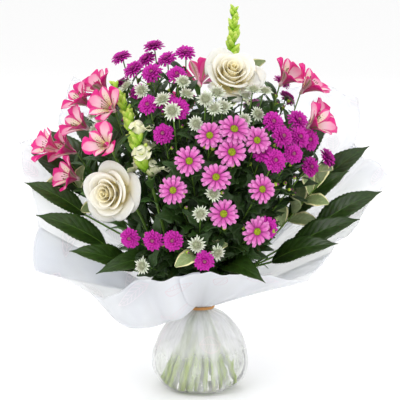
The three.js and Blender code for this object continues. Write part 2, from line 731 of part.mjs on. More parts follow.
// ---- film collar, tie, bag and water ----
function roundCollar(values, bearing) {
  const step = (((bearing % 360) + 360) % 360) / (360 / values.length);
  const low = Math.floor(step);
  const blend = 0.5 - 0.5 * Math.cos((step - low) * Math.PI);
  return THREE.MathUtils.lerp(values[low % values.length], values[(low + 1) % values.length], blend);
}

function collarSlope(bearing) {
  return THREE.MathUtils.degToRad(roundCollar(collarSlopes, bearing));
}

// A point of the collar, as far past the tie as asked along its wall. A belly hangs out and down.
function collarPoint(bearing, distance, layer) {
  const slope = collarSlope(bearing);
  const along = Math.min(distance / collar.bellyReach, 1);
  const hang = roundCollar(collarBellies, bearing) * Math.sin(Math.PI * along);
  const pleat = collar.pleat * distance * Math.sin(THREE.MathUtils.degToRad(bearing * 9));
  const out = collar.innerRadius + layer * collar.layerPitch + distance * Math.cos(slope) - pleat;
  const height = collar.startHeight - layer * collar.layerDrop + distance * Math.sin(slope);
  return turned(bearing, out + collar.bulge * hang, height - collar.sag * hang);
}

function collarSheet({ name, from, lengths, layer }) {
  const columns = lengths.length - 1;
  const blade = thickSheet(columns, 5, (u, v) => {
    const column = Math.round(u * columns);
    return collarPoint(from + 10 * column, lengths[column] * v, layer);
  }, () => collar.film);
  addNode(name, settle(name, solidOf(blade)), looks.film);
}

function bagRadius(z) {
  const above = bagOutline.findIndex(([, height]) => height > z);
  const [[r0, z0], [r1, z1]] = [bagOutline[above - 1], bagOutline[above]];
  return THREE.MathUtils.lerp(r0, r1, (z - z0) / (z1 - z0));
}

function waterBag() {
  const wall = bagOutline.slice(1);
  const inner = [...wall].reverse().map(([r, z]) => [r - bag.film, z]);
  const floor = [[bagOutline[0][0] - bag.film, bag.film], [0, bag.film]];
  const profile = [[0, 0], ...bagOutline, ...inner, ...floor];
  const geometry = petalledLathe(profile, bag.pleats * 2, (ring, column) => {
    const [r, z] = profile[ring];
    return [r > 20 && z > 60 && column % 2 ? 0.94 : 1, 0];
  });
  addNode('water_bag_film', settle('water_bag_film', solidOf(geometry)), looks.film);
}

function bagWater() {
  const heights = [10, 36, bag.waterTop];
  const wall = heights.map((z) => [bagRadius(z) - bag.film - bag.slack, z]);
  const profile = [[0, bag.film + gap], [bag.baseRadius - 2, bag.film + gap], ...wall, [0, bag.waterTop]];
  const body = solidOf(petalledLathe(profile, bag.pleats * 2, () => [1, 0]));
  const holes = wasm.Manifold.union(beds.map(({ slot }) => stemHole(slot)));
  addNode('water', keepLargest(body.subtract(holes)), looks.water);
}

function raffiaTie() {
  const hank = new THREE.TorusGeometry(tie.ringRadius, tie.radius, 5, 14);
  hank.scale(1, 1, tie.flatness);
  hank.translate(0, 0, tie.height);
  addNode('raffia_tie', settle('raffia_tie', solidOf(hank)), looks.raffia);
}

// ---- the whole bouquet ----
waterBag();
raffiaTie();
sheets.forEach(collarSheet);
roseStemAndBloom('rose_front', roseFront, 0.3);
roseStemAndBloom('rose_top', roseTop, 1.2);
snapdragon('snapdragon_left', spikeLeft, 8);
snapdragon('snapdragon_top', spikeTop, 3);
const frontSprays = {
  alstroemeria: alstroemeriaSprays,
  santini: santiniSprays,
  aster: asterSprays,
  astrantia: astrantiaSprays,
};
Object.entries(frontSprays).forEach(([kind, sprays]) => {
  sprays.forEach((places, i) => spray(`${kind}_spray_${i + 1}`, kind, places.map((place) => onDome(place))));
});
backSprays.forEach(({ kind, bearing, tilts }, i) => {
  const spots = tilts.map((tilt, k) => onDomeByTilt(bearing + 13 * Math.sin(k * 2.4), tilt));
  spray(`${kind}_spray_back_${i + 1}`, kind, spots);
});
bigLeafStems.forEach((row, i) => bigLeafStem(`large_leaf_stem_${i + 1}`, row));
smallLeafStems.forEach((row, i) => smallLeafStem(`pittosporum_stem_${i + 1}`, row));
beds.forEach((bed) => bed.grow());
bagWater();

export default bouquet;
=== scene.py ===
import itertools
import math
import bmesh
import bpy
import numpy as np
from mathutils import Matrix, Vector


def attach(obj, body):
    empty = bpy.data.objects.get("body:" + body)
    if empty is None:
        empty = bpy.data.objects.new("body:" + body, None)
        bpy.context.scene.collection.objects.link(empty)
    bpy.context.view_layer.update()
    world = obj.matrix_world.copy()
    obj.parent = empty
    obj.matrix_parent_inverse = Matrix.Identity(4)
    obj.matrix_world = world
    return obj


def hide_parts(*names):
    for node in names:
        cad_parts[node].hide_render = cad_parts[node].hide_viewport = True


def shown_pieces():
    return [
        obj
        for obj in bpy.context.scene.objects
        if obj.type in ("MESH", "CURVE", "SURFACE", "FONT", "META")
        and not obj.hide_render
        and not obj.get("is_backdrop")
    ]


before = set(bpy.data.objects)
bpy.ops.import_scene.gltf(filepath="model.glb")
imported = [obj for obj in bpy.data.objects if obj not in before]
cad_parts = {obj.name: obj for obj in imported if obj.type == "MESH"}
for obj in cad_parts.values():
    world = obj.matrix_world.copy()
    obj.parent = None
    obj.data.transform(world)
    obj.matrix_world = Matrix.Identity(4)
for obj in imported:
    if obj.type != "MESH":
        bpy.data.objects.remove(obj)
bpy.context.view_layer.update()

# All sizes below are in millimetres; meshes are written in metres.
metre = 0.001
rng = np.random.default_rng(41)
up = np.array([0.0, 0.0, 1.0])
goldenAngle = 2.39996    # from one petal or seed to the next, in radians
leafTurn = 2.4    # the same from leaf to leaf, rounded as in the CAD


# Camera and light.
picture = {
    # size of a pixel at the bunch, the column and row of the bag's base, and the camera's tilt
    # in degrees, distance and the height it aims at
    "mmPerPixel": 1.2, "centreColumn": 200, "baseRow": 386, "tilt": 12.0,
    "distance": 2000.0, "aimHeight": 233.0, "pixels": 400,
}
tilt = math.radians(picture["tilt"])
towardsViewer = np.array([0.0, -math.cos(tilt), math.sin(tilt)])


def makeCamera():
    data = bpy.data.cameras.new("camera")
    across = picture["pixels"] * picture["mmPerPixel"]
    data.angle = 2 * math.atan(across / 2 / picture["distance"])
    data.clip_end = 20
    camera = bpy.data.objects.new("camera", data)
    eye = np.array([0, 0, picture["aimHeight"]]) + towardsViewer * picture["distance"]
    camera.location = eye * metre
    camera.rotation_euler = (math.pi / 2 - tilt, 0, 0)
    bpy.context.scene.collection.objects.link(camera)
    bpy.context.scene.camera = camera


lights = {
    # name: where from (m), where to (m), size (m), power (W)
    "key": ((-1.1, -1.5, 1.75), (0, 0, 0.24), 1.3, 17),
    "fill": ((1.5, -1.3, 1.0), (0, 0, 0.22), 1.6, 7),
    "back": ((0.3, 1.5, 1.6), (0, 0, 0.25), 1.4, 8),
}
skyStrength = 1.0    # white light from all round, so that no shadow is hard


def makeLights():
    for name, (place, aim, size, power) in lights.items():
        data = bpy.data.lights.new(name, "AREA")
        data.size = size
        data.energy = power
        lamp = bpy.data.objects.new(name, data)
        lamp.location = place
        direction = Vector(aim) - Vector(place)
        lamp.rotation_euler = direction.to_track_quat("-Z", "Y").to_euler()
        bpy.context.scene.collection.objects.link(lamp)
    world = bpy.data.worlds.new("studio")
    world.use_nodes = True
    world.node_tree.nodes["Background"].inputs["Color"].default_value = (1, 1, 1, 1)
    world.node_tree.nodes["Background"].inputs["Strength"].default_value = skyStrength
    bpy.context.scene.world = world
    bpy.context.scene.view_settings.view_transform = "Standard"


makeCamera()
makeLights()
print("camera and lights made")


# Nodes and materials.
def colour(code, alpha=1.0):
    # sRGB hex to linear
    share = np.array([int(code[i:i + 2], 16) for i in (1, 3, 5)]) / 255
    linear = np.where(share <= 0.04045, share / 12.92, ((share + 0.055) / 1.055) ** 2.4)
    return (*linear.tolist(), alpha)


class Shader:
    # a material's node tree with short ways to add nodes
    def __init__(self, name):
        self.material = bpy.data.materials.new(name)
        self.material.use_nodes = True
        self.tree = self.material.node_tree
        self.surface = self.tree.nodes["Principled BSDF"]

    def add(self, kind, inputs=None, output=0, **settings):
        node = self.tree.nodes.new(kind)
        for key, value in settings.items():
            setattr(node, key, value)
        for key, value in (inputs or {}).items():
            self.feed(node.inputs[key], value)
        return node.outputs[output]

    def feed(self, socket, value):
        if isinstance(value, bpy.types.NodeSocket):
            self.tree.links.new(value, socket)
        elif isinstance(value, str):
            socket.default_value = colour(value)
        else:
            socket.default_value = value

    def sums(self, operation, first, second=0.0):
        return self.add("ShaderNodeMath", {0: first, 1: second}, operation=operation)

    def times(self, first, second):
        return self.sums("MULTIPLY", first, second)

    def plus(self, first, second):
        return self.sums("ADD", first, second)

    def minus(self, first, second):
        return self.sums("SUBTRACT", first, second)

    def absolute(self, value):
        return self.sums("ABSOLUTE", value)

    def mix(self, share, first, second, blend="MIX"):
        return self.add(
            "ShaderNodeMix", {0: share, 6: first, 7: second}, 2,
            data_type="RGBA", blend_type=blend,
        )

    def attribute(self, name):
        return self.add("ShaderNodeAttribute", None, 2, attribute_name=name)

    def split(self, vector):
        parts = self.tree.nodes.new("ShaderNodeSeparateXYZ")
        self.tree.links.new(vector, parts.inputs[0])
        return parts.outputs

    def uvMap(self):
        return self.add("ShaderNodeTexCoord", None, 2)

    def ownPlace(self):
        return self.add("ShaderNodeTexCoord", None, 3)

    def uv(self):
        place = self.uvMap()
        parts = self.split(place)
        return place, parts[0], parts[1]

    def offMiddle(self, across):
        # how far a place is from the line up the middle
        return self.absolute(self.minus(across, 0.5))

    def shaded(self, body, tint, darkest, lightest):
        # the share of each petal or leaf makes it darker or lighter; it is random, except on the rose,
        # where it is the petal's place from the heart, so the inner petals are darkened as painted shade
        # deep in the bloom
        shade = self.ramp(tint, 0, 1, darkest, lightest)
        grey = self.add("ShaderNodeCombineColor", {0: shade, 1: shade, 2: shade})
        return self.mix(1.0, body, grey, "MULTIPLY")

    def stretched(self, vector, scale):
        return self.add("ShaderNodeMapping", {0: vector, 3: scale})

    def noise(self, vector, scale, detail=3.0, roughness=0.55):
        inputs = {"Vector": vector, "Scale": scale, "Detail": detail, "Roughness": roughness}
        return self.add("ShaderNodeTexNoise", inputs)

    def ramp(self, share, low, high, first=0.0, last=1.0):
        inputs = {0: share, 1: low, 2: high, 3: first, 4: last}
        return self.add("ShaderNodeMapRange", inputs, interpolation_type="SMOOTHSTEP")

    def bump(self, height, strength, distance):
        # distance in millimetres
        inputs = {"Height": height, "Strength": strength, "Distance": distance * metre}
        return self.add("ShaderNodeBump", inputs)

    def finish(self, **inputs):
        for key, value in inputs.items():
            self.feed(self.surface.inputs[key.replace("_", " ")], value)
        return self.material


# Petals: colour runs from the root to the tip, with darker grooves along the petal and a share for
# each petal, random except on the rose, where it follows the petals out from the heart and paints
# shade on the inner ones. Thin tissue scatters the light, so it is matte with a soft glow.
def petalMaterial(name, root, middle, tip, groove, back=None, grooves=9.0, rough=0.55, glow=0.12,
                  heart=None, edge=None, flecks=None, keel=None, depth=1.5):
    s = Shader(name)
    place, across, along = s.uv()
    tint = s.attribute("tint")
    body = s.mix(s.ramp(along, 0.05, 0.5), root, middle)
    body = s.mix(s.ramp(along, 0.45, 0.98), body, tip)
    lines = s.noise(s.stretched(place, (grooves, 0.8, 1)), 3.0)
    body = s.mix(s.times(s.ramp(lines, 0.5, 0.75), 0.55), body, groove)
    if back:
        body = s.mix(s.attribute("side"), body, back)
    if heart:
        body = s.mix(s.ramp(tint, 0, 0.6, 0.8, 0), body, heart)
    if edge:
        # a margin that widens to the tip, with a feathered inner line
        out = s.offMiddle(across)
        wide = s.plus(s.times(along, 0.34), s.times(lines, 0.12))
        share = s.minus(s.plus(out, wide), 0.53)
        body = s.mix(s.ramp(share, 0.0, 0.1), body, edge)
    if flecks:
        # short dark dashes along the petal, between its root and its middle
        dashes = s.noise(s.stretched(place, (22, 5, 1)), 2.0, 1.0)
        within = s.times(s.ramp(along, 0.15, 0.25), s.ramp(along, 0.62, 0.78, 1.0, 0.0))
        body = s.mix(s.times(s.ramp(dashes, 0.6, 0.66), within), body, flecks)
    if keel:
        line = s.ramp(s.offMiddle(across), 0.03, 0.12, 1.0, 0.0)
        line = s.times(line, s.attribute("side"))
        body = s.mix(s.times(line, 0.8), body, keel)
    # on the rose this ramp darkens the inner petals: painted shade deep in the bloom
    return s.finish(
        Base_Color=s.shaded(body, tint, 0.9, 1.04), Roughness=rough, Normal=s.bump(lines, 0.35, 0.25),
        Subsurface_Weight=glow, Subsurface_Radius=(1, 1, 1), Subsurface_Scale=depth * metre,
        Specular_IOR_Level=0.3,
    )


# Leaves: side veins run from the midrib at a slant; the underside is paler.
def leafMaterial(name, face, vein, under, veins=7.0, rough=0.38, margin=None, marginWidth=0.2, slant=0.55):
    s = Shader(name)
    place, across, along = s.uv()
    out = s.offMiddle(across)
    phase = s.times(s.minus(along, s.times(out, slant)), veins)
    saw = s.absolute(s.minus(s.sums("FRACT", phase), 0.5))
    veinLine = s.ramp(saw, 0.0, 0.09, 1.0, 0.0)
    rib = s.ramp(out, 0.012, 0.035, 1.0, 0.0)
    lines = s.sums("MAXIMUM", s.times(veinLine, 0.55), rib)
    patch = s.noise(s.stretched(place, (2.0, 4.0, 1)), 3.0)
    body = s.mix(s.ramp(patch, 0.35, 0.7, 0.0, 0.45), face, vein)
    body = s.mix(s.times(lines, 0.7), body, vein)
    if margin:
        wander = s.times(s.noise(place, 9.0), 0.2)
        edge = s.ramp(s.plus(out, wander), 0.6 - marginWidth, 0.66 - marginWidth)
        body = s.mix(edge, body, margin)
    body = s.mix(s.attribute("side"), body, under)
    quilt = s.plus(s.times(saw, 1.4), s.times(lines, -0.6))
    return s.finish(
        Base_Color=s.shaded(body, s.attribute("tint"), 0.72, 1.2), Roughness=rough,
        Normal=s.bump(quilt, 0.5, 0.6),
        Subsurface_Weight=0.05, Subsurface_Scale=1.5 * metre, Specular_IOR_Level=0.4,
    )


# Stems: fine ribs along the stem and a slow change of shade from stem to stem.
def stemMaterial(name, light, dark, rough=0.45):
    s = Shader(name)
    ribs = s.noise(s.stretched(s.uvMap(), (14, 1.5, 1)), 2.0)
    body = s.mix(s.ramp(ribs, 0.3, 0.7), dark, light)
    body = s.mix(s.ramp(s.attribute("tint"), 0, 1, 0.0, 0.5), body, dark)
    return s.finish(
        Base_Color=body, Roughness=rough, Normal=s.bump(ribs, 0.3, 0.3), Specular_IOR_Level=0.4,
    )


def grainMaterial(name, light, dark, grainSize, rough=0.7):
    # pollen and seed heads: grains of the given size in mm, each light in its middle and dark where it
    # meets the next; the two colours are the head's own, and the dark rims are also painted shade between
    # the grains
    s = Shader(name)
    cells = s.add("ShaderNodeTexVoronoi", {"Vector": s.ownPlace(), "Scale": 1 / (grainSize * metre)})
    # painted shade: the dark colour gathers at each grain's rim, in the gaps between the grains
    body = s.mix(s.ramp(cells, 0.1, 0.7), light, dark)
    body = s.mix(s.ramp(s.attribute("tint"), 0, 1, 0, 0.35), body, dark)
    return s.finish(
        Base_Color=body, Roughness=rough, Normal=s.bump(cells, -0.5, 0.3), Specular_IOR_Level=0.25,
    )


def sprigLines(s, place, cell, width):
    # Thin outlines of loose leaves, one in each square cell of the film and each turned its own way:
    # the outline is where |y| meets a lens, the ribs are where a slanted saw meets zero.
    tiled = s.add("ShaderNodeVectorMath", {0: place, 3: 1 / (cell * metre)}, operation="SCALE")
    whole = s.add("ShaderNodeVectorMath", {0: tiled}, operation="FLOOR")
    inner = s.add("ShaderNodeVectorMath", {0: tiled}, operation="FRACTION")
    inner = s.add("ShaderNodeVectorMath", {0: inner, 1: (0.5, 0.5, 0)}, operation="SUBTRACT")
    chance = s.add("ShaderNodeTexWhiteNoise", {0: whole}, 0, noise_dimensions="2D")
    angle = s.times(chance, 6.283)
    turned = s.add("ShaderNodeVectorRotate", {0: inner, 3: angle}, rotation_type="Z_AXIS")
    parts = s.split(turned)
    x, y = parts[0], s.absolute(parts[1])
    lens = s.times(s.minus(0.1225, s.times(x, x)), 1.3)
    inside = s.minus(lens, y)
    outline = s.ramp(s.absolute(inside), width * 0.5, width, 1.0, 0.0)
    rib = s.ramp(y, width * 0.4, width * 0.8, 1.0, 0.0)
    slant = s.sums("FRACT", s.times(s.minus(x, s.times(y, 0.7)), 12.0))
    veins = s.ramp(s.absolute(s.minus(slant, 0.5)), 0.08, 0.16, 0.8, 0.0)
    within = s.ramp(inside, 0.0, 0.004)
    lines = s.times(s.sums("MAXIMUM", rib, veins), within)
    lines = s.sums("MAXIMUM", lines, outline)
    near = s.ramp(s.absolute(x), 0.345, 0.352, 1.0, 0.0)
    shown = s.sums("GREATER_THAN", chance, 0.35)
    return s.times(s.times(lines, near), shown)


# Wrap film: a milky plastic, so light comes through it and folds show as soft grey bands. The faint
# print is a loose scatter of leaf outlines.
def filmMaterial():
    s = Shader("frosted film, milky plastic")
    lines = sprigLines(s, s.stretched(s.uvMap(), (metre, metre, metre)), 46.0, 0.013)
    cloud = s.noise(s.ownPlace(), 9.0, 4.0)
    body = s.mix(s.ramp(cloud, 0.35, 0.7), "#F1F4FC", "#E6EAF6")
    body = s.mix(s.times(lines, 0.55), body, "#CDB4BE")
    milky = s.ramp(s.attribute("tint"), 0, 1, 0.36, 0.92)
    alpha = s.plus(milky, s.ramp(cloud, 0.3, 0.75, -0.04, 0.06))
    alpha = s.plus(alpha, s.times(lines, 0.2))
    return s.finish(
        Base_Color=body, Roughness=0.38, Alpha=alpha, Subsurface_Weight=0.6,
        Subsurface_Radius=(1, 1, 1), Subsurface_Scale=1.5 * metre,
        Specular_IOR_Level=0.35, Normal=s.bump(cloud, 0.12, 2.0),
    )


# The line round the bag where its frosting ends, in waves.
scallop = {"count": 11, "depth": 3.0, "height": 50.0}


# Bag film: milky with print above a scalloped line, clear below it, with creases that catch light: they are
# bumped, and along them the film is drawn more opaque and white, a painted sheen.
def bagMaterial():
    s = Shader("water bag film, frosted above and clear below")
    place, across, _ = s.uv()
    own = s.ownPlace()
    wave = s.sums("SINE", s.times(across, 6.2832 * scallop["count"]))
    line = s.plus(s.times(wave, scallop["depth"] * metre), scallop["height"] * metre)
    line = s.plus(line, s.times(s.noise(own, 30.0), scallop["depth"] * metre * 1.6))
    frosted = s.ramp(s.minus(s.split(own)[2], line), -9 * metre, 11 * metre)
    lines = sprigLines(s, s.stretched(place, (0.36, 0.13, 1)), 44.0, 0.014)
    creasesAndPaintedSheen = s.noise(s.stretched(place, (22, 2.6, 1)), 1.0, 4.0)
    body = s.mix(s.times(lines, 0.4), "#F1F1F3", "#E0C0C8")
    # painted sheen: the film is more opaque and white along the creases, in the clear part and the frosted
    # part alike
    clear = s.ramp(creasesAndPaintedSheen, 0.34, 0.72, 0.08, 0.42)
    milky = s.plus(s.ramp(creasesAndPaintedSheen, 0.3, 0.7, 0.32, 0.62), s.times(lines, 0.12))
    alpha = s.add("ShaderNodeMix", {0: frosted, 2: clear, 3: milky}, 0)
    rough = s.ramp(frosted, 0, 1, 0.12, 0.4)
    return s.finish(
        Base_Color=body, Roughness=rough, Alpha=alpha, Normal=s.bump(creasesAndPaintedSheen, 0.35, 1.5),
        Specular_IOR_Level=0.6,
    )


# Water: clear. Its index is lower than real water's, so that the stems in it stay easy to see.
def waterMaterial():
    s = Shader("clear water")
    return s.finish(
        Base_Color="#F8FBF2", Roughness=0.04, IOR=1.16, Transmission_Weight=1.0,
    )


def raffiaMaterial():
    # dry palm fibre: long dull streaks along each strand
    s = Shader("raffia fibre")
    streaks = s.noise(s.stretched(s.uvMap(), (8, 60, 1)), 2.0, 4.0)
    body = s.mix(s.ramp(streaks, 0.3, 0.7), "#A8692E", "#DDA865")
    return s.finish(Base_Color=body, Roughness=0.75, Normal=s.bump(streaks, 0.6, 0.3))


def floorMaterial():
    s = Shader("pale studio floor")
    return s.finish(Base_Color=(0.96, 0.96, 0.96, 1), Roughness=0.9, Specular_IOR_Level=0.1)


looks = {
    "rose": petalMaterial(
        "rose petal, ivory", "#FCE58C", "#FCF0C6", "#FBF6E6", "#F8EFD4",
        grooves=4.0, rough=0.5, glow=0.85, heart="#FBE69A", depth=3.0),
    "santini": petalMaterial(
        "santini petal, light pink", "#A0207C", "#D05CAE", "#DE86C4", "#AE3890", "#CF86BE", grooves=5.0),
    "disc": grainMaterial("santini disc, olive", "#B4BE22", "#6E7A08", 0.9),
    "aster": petalMaterial(
        "aster petal, magenta", "#8A0070", "#B60494", "#CC26AC", "#900078", "#AA3890", grooves=3.0),
    "asterHeart": grainMaterial("aster heart, pale gold and pink", "#E8D8A0", "#C870A8", 0.8),
    "astrantia": petalMaterial(
        "astrantia bract, green white", "#A4B884", "#D6DFC4", "#ECF0E2", "#94AC7C", "#C0CFA8", grooves=3.0),
    "pins": grainMaterial("astrantia florets", "#E8ECD6", "#C9D3AC", 0.7),
    "filament": stemMaterial("astrantia filament, dull pink", "#EADCD4", "#C8B0AC", 0.6),
    "tepal": petalMaterial(
        "alstroemeria tepal, pink edge on cream", "#D9D49A", "#F2C8D2", "#E98AB0", "#E67AA8", "#DE4F92",
        grooves=4.0, rough=0.42, glow=0.2, edge="#DE1F84", keel="#7A8A34"),
    "tepalInner": petalMaterial(
        "alstroemeria inner tepal, cream with flecks",
        "#E2CF7C", "#F1E2C6", "#EFB4CC", "#E8B6B8", "#E0A0B0", grooves=4.0, rough=0.42, glow=0.2,
        edge="#E0408E", flecks="#7C1C38", keel="#7A8A34"),
    "anther": grainMaterial("anther, olive brown", "#A88A52", "#6E5B38", 0.5),
    "snap": petalMaterial(
        "snapdragon floret, cream", "#D0DA84", "#EEF0C6", "#F4F4DA", "#E4EAB6", "#E8EDC0",
        grooves=6.0, rough=0.5, glow=0.2),
    "bud": petalMaterial(
        "snapdragon bud, lime", "#6FA51C", "#9AC730", "#D2DF72", "#7DB022", grooves=4.0, rough=0.45),
    "bigLeaf": leafMaterial(
        "large leaf, dark and waxy", "#22380F", "#3B5A1E", "#6E7F45", veins=8.0, rough=0.34),
    "smallLeaf": leafMaterial(
        "pittosporum leaf, grey green with a cream margin", "#7C8E5B", "#98A574", "#8E9B6E",
        veins=6.0, rough=0.36, margin="#E3DDA6", marginWidth=0.14),
    "foliage": leafMaterial(
        "spray foliage, dark green", "#21390F", "#33531C", "#48662E", veins=5.0, rough=0.5),
    "longLeaf": leafMaterial(
        "alstroemeria leaf, fresh green", "#2C5216", "#447226", "#5C8440", veins=4.0, rough=0.42),
    "stem": stemMaterial("green stem", "#7FA43C", "#3F6320"),
    # lime stems: below the tie this is partly painted light; on the snapdragon tips and shut buds it is
    # their own lime
    "paleStem": stemMaterial("stem, lime green", "#C6DA50", "#94B22E"),
    "film": filmMaterial(),
    "water": waterMaterial(),
    "raffia": raffiaMaterial(),
    "bag": bagMaterial(),
}
lookOrder = list(looks)
print("materials made")


# Shapes: points, four-cornered faces, uv, a random share (tint), which side, and a look.
def gridFaces(rows, columns, wrap=False):
    i, j = np.meshgrid(np.arange(rows - 1), np.arange(columns if wrap else columns - 1), indexing="ij")
    after = (j + 1) % columns
    low, high = i * columns, (i + 1) * columns
    return np.stack([low + j, low + after, high + after, high + j], -1).reshape(-1, 4)


def repeatedFaces(faces, count, size):
    # the same faces for each of several forms of size points
    return (faces[None] + (np.arange(count) * size)[:, None, None]).reshape(-1, 4)


def uvGrid(rows, columns):
    v, u = np.meshgrid(np.linspace(0, 1, rows), np.linspace(0, 1, columns), indexing="ij")
    return np.stack([u.ravel(), v.ravel()], -1)


def shapeOf(points, faces, uv, tint, side, look):
    count = len(points)
    return {
        "points": points, "faces": faces, "uv": uv,
        "tint": np.broadcast_to(tint, (count,)).astype(float),
        "side": np.broadcast_to(side, (count,)).astype(float),
        "look": np.full(len(faces), lookOrder.index(look)),
    }


def closedForm(grid, look, tint=0.5):
    # rings of points from one end to the other; each end ring stands on one point
    rows, columns = grid.shape[:2]
    faces = gridFaces(rows, columns, True)
    return shapeOf(grid.reshape(-1, 3), faces, uvGrid(rows, columns), tint, 0.0, look)


def joined(shapes):
    offsets = np.cumsum([0] + [len(s["points"]) for s in shapes[:-1]])
    keys = ("points", "uv", "tint", "side", "look")
    made = {key: np.concatenate([s[key] for s in shapes]) for key in keys}
    made["faces"] = np.concatenate([s["faces"] + k for s, k in zip(shapes, offsets)])
    return made


def moved(shape, turn, origin, scale=1.0, tint=0.0):
    made = dict(shape)
    made["points"] = (shape["points"] * scale) @ np.asarray(turn).T + origin
    made["tint"] = np.clip(shape["tint"] + tint, 0, 1)
    return made


def unitRows(rows):
    return rows / np.maximum(np.linalg.norm(rows, axis=-1, keepdims=True), 1e-9)


# One closed thin blade for each grid of points: both faces and the rim between them.
def blades(grids, thickness, look, tint):
    count, rows, columns, _ = grids.shape
    normal = unitRows(np.cross(np.gradient(grids, axis=-2), np.gradient(grids, axis=-3)))
    half = 0.5 * thickness
    both = np.stack([grids + normal * half, grids - normal * half], axis=1)
    size = rows * columns
    top = gridFaces(rows, columns)
    rim = np.concatenate([
        np.arange(columns - 1), np.arange(rows - 1) * columns + columns - 1,
        size - 1 - np.arange(columns - 1), (rows - 1 - np.arange(rows - 1)) * columns,
    ])
    after = np.roll(rim, -1)
    edge = np.stack([rim + size, after + size, after, rim], -1)
    faces = repeatedFaces(np.concatenate([top, top[:, ::-1] + size, edge]), count, 2 * size)
    uv = np.tile(uvGrid(rows, columns), (2 * count, 1))
    side = np.tile(np.repeat([0.0, 1.0], size), count)
    tints = np.repeat(np.broadcast_to(tint, (count,)), 2 * size)
    return shapeOf(both.reshape(-1, 3), faces, uv, tints, side, look)


def outline(stops, v):
    return np.interp(v, [s[0] for s in stops], [s[1] for s in stops])


# A ring of petals round +Z. Each runs out along its angle while its slope goes from the first to the
# second bend; its sides are lifted by cup times the square of the place across it.
def petalRing(angles, spec, look, draw, tint=0.5):
    count = len(angles)
    rows, columns = spec.get("grid", (5, 3))
    v = np.linspace(0, 1, rows)[None, :, None]
    u = np.linspace(-1, 1, columns)[None, None, :]
    loose = spec.get("loose", 0.08)

    def some(spread):
        return draw.uniform(-spread, spread, (count, 1, 1))

    length = spec["length"] * (1 + some(loose))
    low, high = spec["bend"]
    slope = np.radians(low + (high - low) * v) + some(loose)
    step = length / (rows - 1)
    out = spec["root"] + step * (np.cumsum(np.cos(slope), 1) - np.cos(slope[:, :1]))
    rise = spec.get("lift", 0.0) + step * (np.cumsum(np.sin(slope), 1) - np.sin(slope[:, :1]))
    half = spec["width"] / 2 * outline(spec["stops"], v)
    round_ = spec.get("round", 0.5)
    ripple = spec.get("ripple", 0.0) * np.sin(v * spec.get("waves", 7.0) + some(3.0)) * v
    x = u * half + some(0.06) * (out - spec["root"])
    # the tip is rounded, and two notches may cut it into three teeth
    teeth = spec.get("notch", 0.0) * length * (np.abs(np.abs(u) - 0.34) < 0.05) * v ** 8
    y = out - round_ * u ** 2 * half * v ** 4 - teeth
    z = rise + (spec.get("cup", 0.1) * u ** 2 + some(loose) * u + ripple * u ** 2 * np.sign(u)) * half
    angle = np.asarray(angles)[:, None, None] + some(loose * 0.6)
    grid = np.stack([
        x * np.cos(angle) - y * np.sin(angle), x * np.sin(angle) + y * np.cos(angle),
        z + 0 * x], -1)
    tints = np.clip(tint + draw.uniform(-0.3, 0.3, count), 0, 1)
    return blades(grid, spec.get("thickness", 0.35), look, tints)


def sectionRings(forward, helper, sides):
    # round each place of a path, a ring of unit arrows square to it
    across = unitRows(np.cross(forward, helper))
    other = np.cross(forward, across)
    angle = np.linspace(0, 2 * np.pi, sides, endpoint=False)[None, :, None]
    return across[:, None] * np.cos(angle) + other[:, None] * np.sin(angle)


# A tube along a path, closed at both ends. Its sections all lean on one helper axis.
def tube(path, radii, sides, look, tint=0.5):
    path = np.asarray(path, float)
    radii = np.broadcast_to(radii, (len(path),))
    forward = unitRows(np.gradient(path, axis=0))
    helper = np.array([1.0, 0, 0]) if abs(forward[0, 0]) < 0.8 else np.array([0, 1.0, 0])
    rings = path[:, None] + sectionRings(forward, helper, sides) * radii[:, None, None]
    first, last = (np.repeat(path[[end], None], sides, axis=1) for end in (0, -1))
    return closedForm(np.concatenate([first, rings, last]), look, tint)


# A turned form: radius and height stops, with an optional radius factor for each column.
def turnedForm(stops, columns, look, tint=0.5, factor=None):
    radius, height = np.array(stops, float).T
    angle = np.linspace(0, 2 * np.pi, columns, endpoint=False)
    share = np.ones((len(radius), columns)) if factor is None else factor
    x = radius[:, None] * share * np.cos(angle)
    y = radius[:, None] * share * np.sin(angle)
    return closedForm(np.stack([x, y, height[:, None] + 0 * x], -1), look, tint)


# Many small pins: each a slim pyramid from its foot to its head, with a wider head if asked for.
def pins(feet, heads, thin, thick, look, headShare=0.75):
    direction = heads - feet
    stops = np.array([[0, thin], [headShare, thin], [headShare + 0.05, thick], [1, thick * 0.3]])
    ring = sectionRings(unitRows(direction), [0.31, 0.95, 0.05], 3)
    along = feet[:, None] + direction[:, None] * stops[None, :, :1]
    grid = along[:, :, None] + ring[:, None] * stops[None, :, 1, None, None]
    count = len(feet)
    faces = gridFaces(4, 3, True)
    faces = repeatedFaces(np.concatenate([faces, [[9, 10, 11, 11]], [[2, 1, 0, 0]]]), count, 12)
    uv = np.tile(np.stack([np.tile([0, 0.5, 1.0], 4), np.repeat(stops[:, 0], 3)], -1), (count, 1))
    tints = np.repeat(rng.uniform(0, 1, count), 12)
    return shapeOf(grid.reshape(-1, 3), faces, uv, tints, 0.0, look)


def roundAngles(count, offset=0.0):
    return (np.arange(count) + offset) * 2 * np.pi / count


def phyllotaxis(count, radius, crown):
    # seeds on a dome: the angle grows by the golden angle, the radius with the root of the number
    k = np.arange(count) + 0.5
    r = radius * np.sqrt(k / count)
    angle = k * goldenAngle
    z = crown * (1 - (r / radius) ** 2)
    return np.stack([r * np.cos(angle), r * np.sin(angle), z], -1)


weld = {"points": 0.002, "edges": 0.0001}


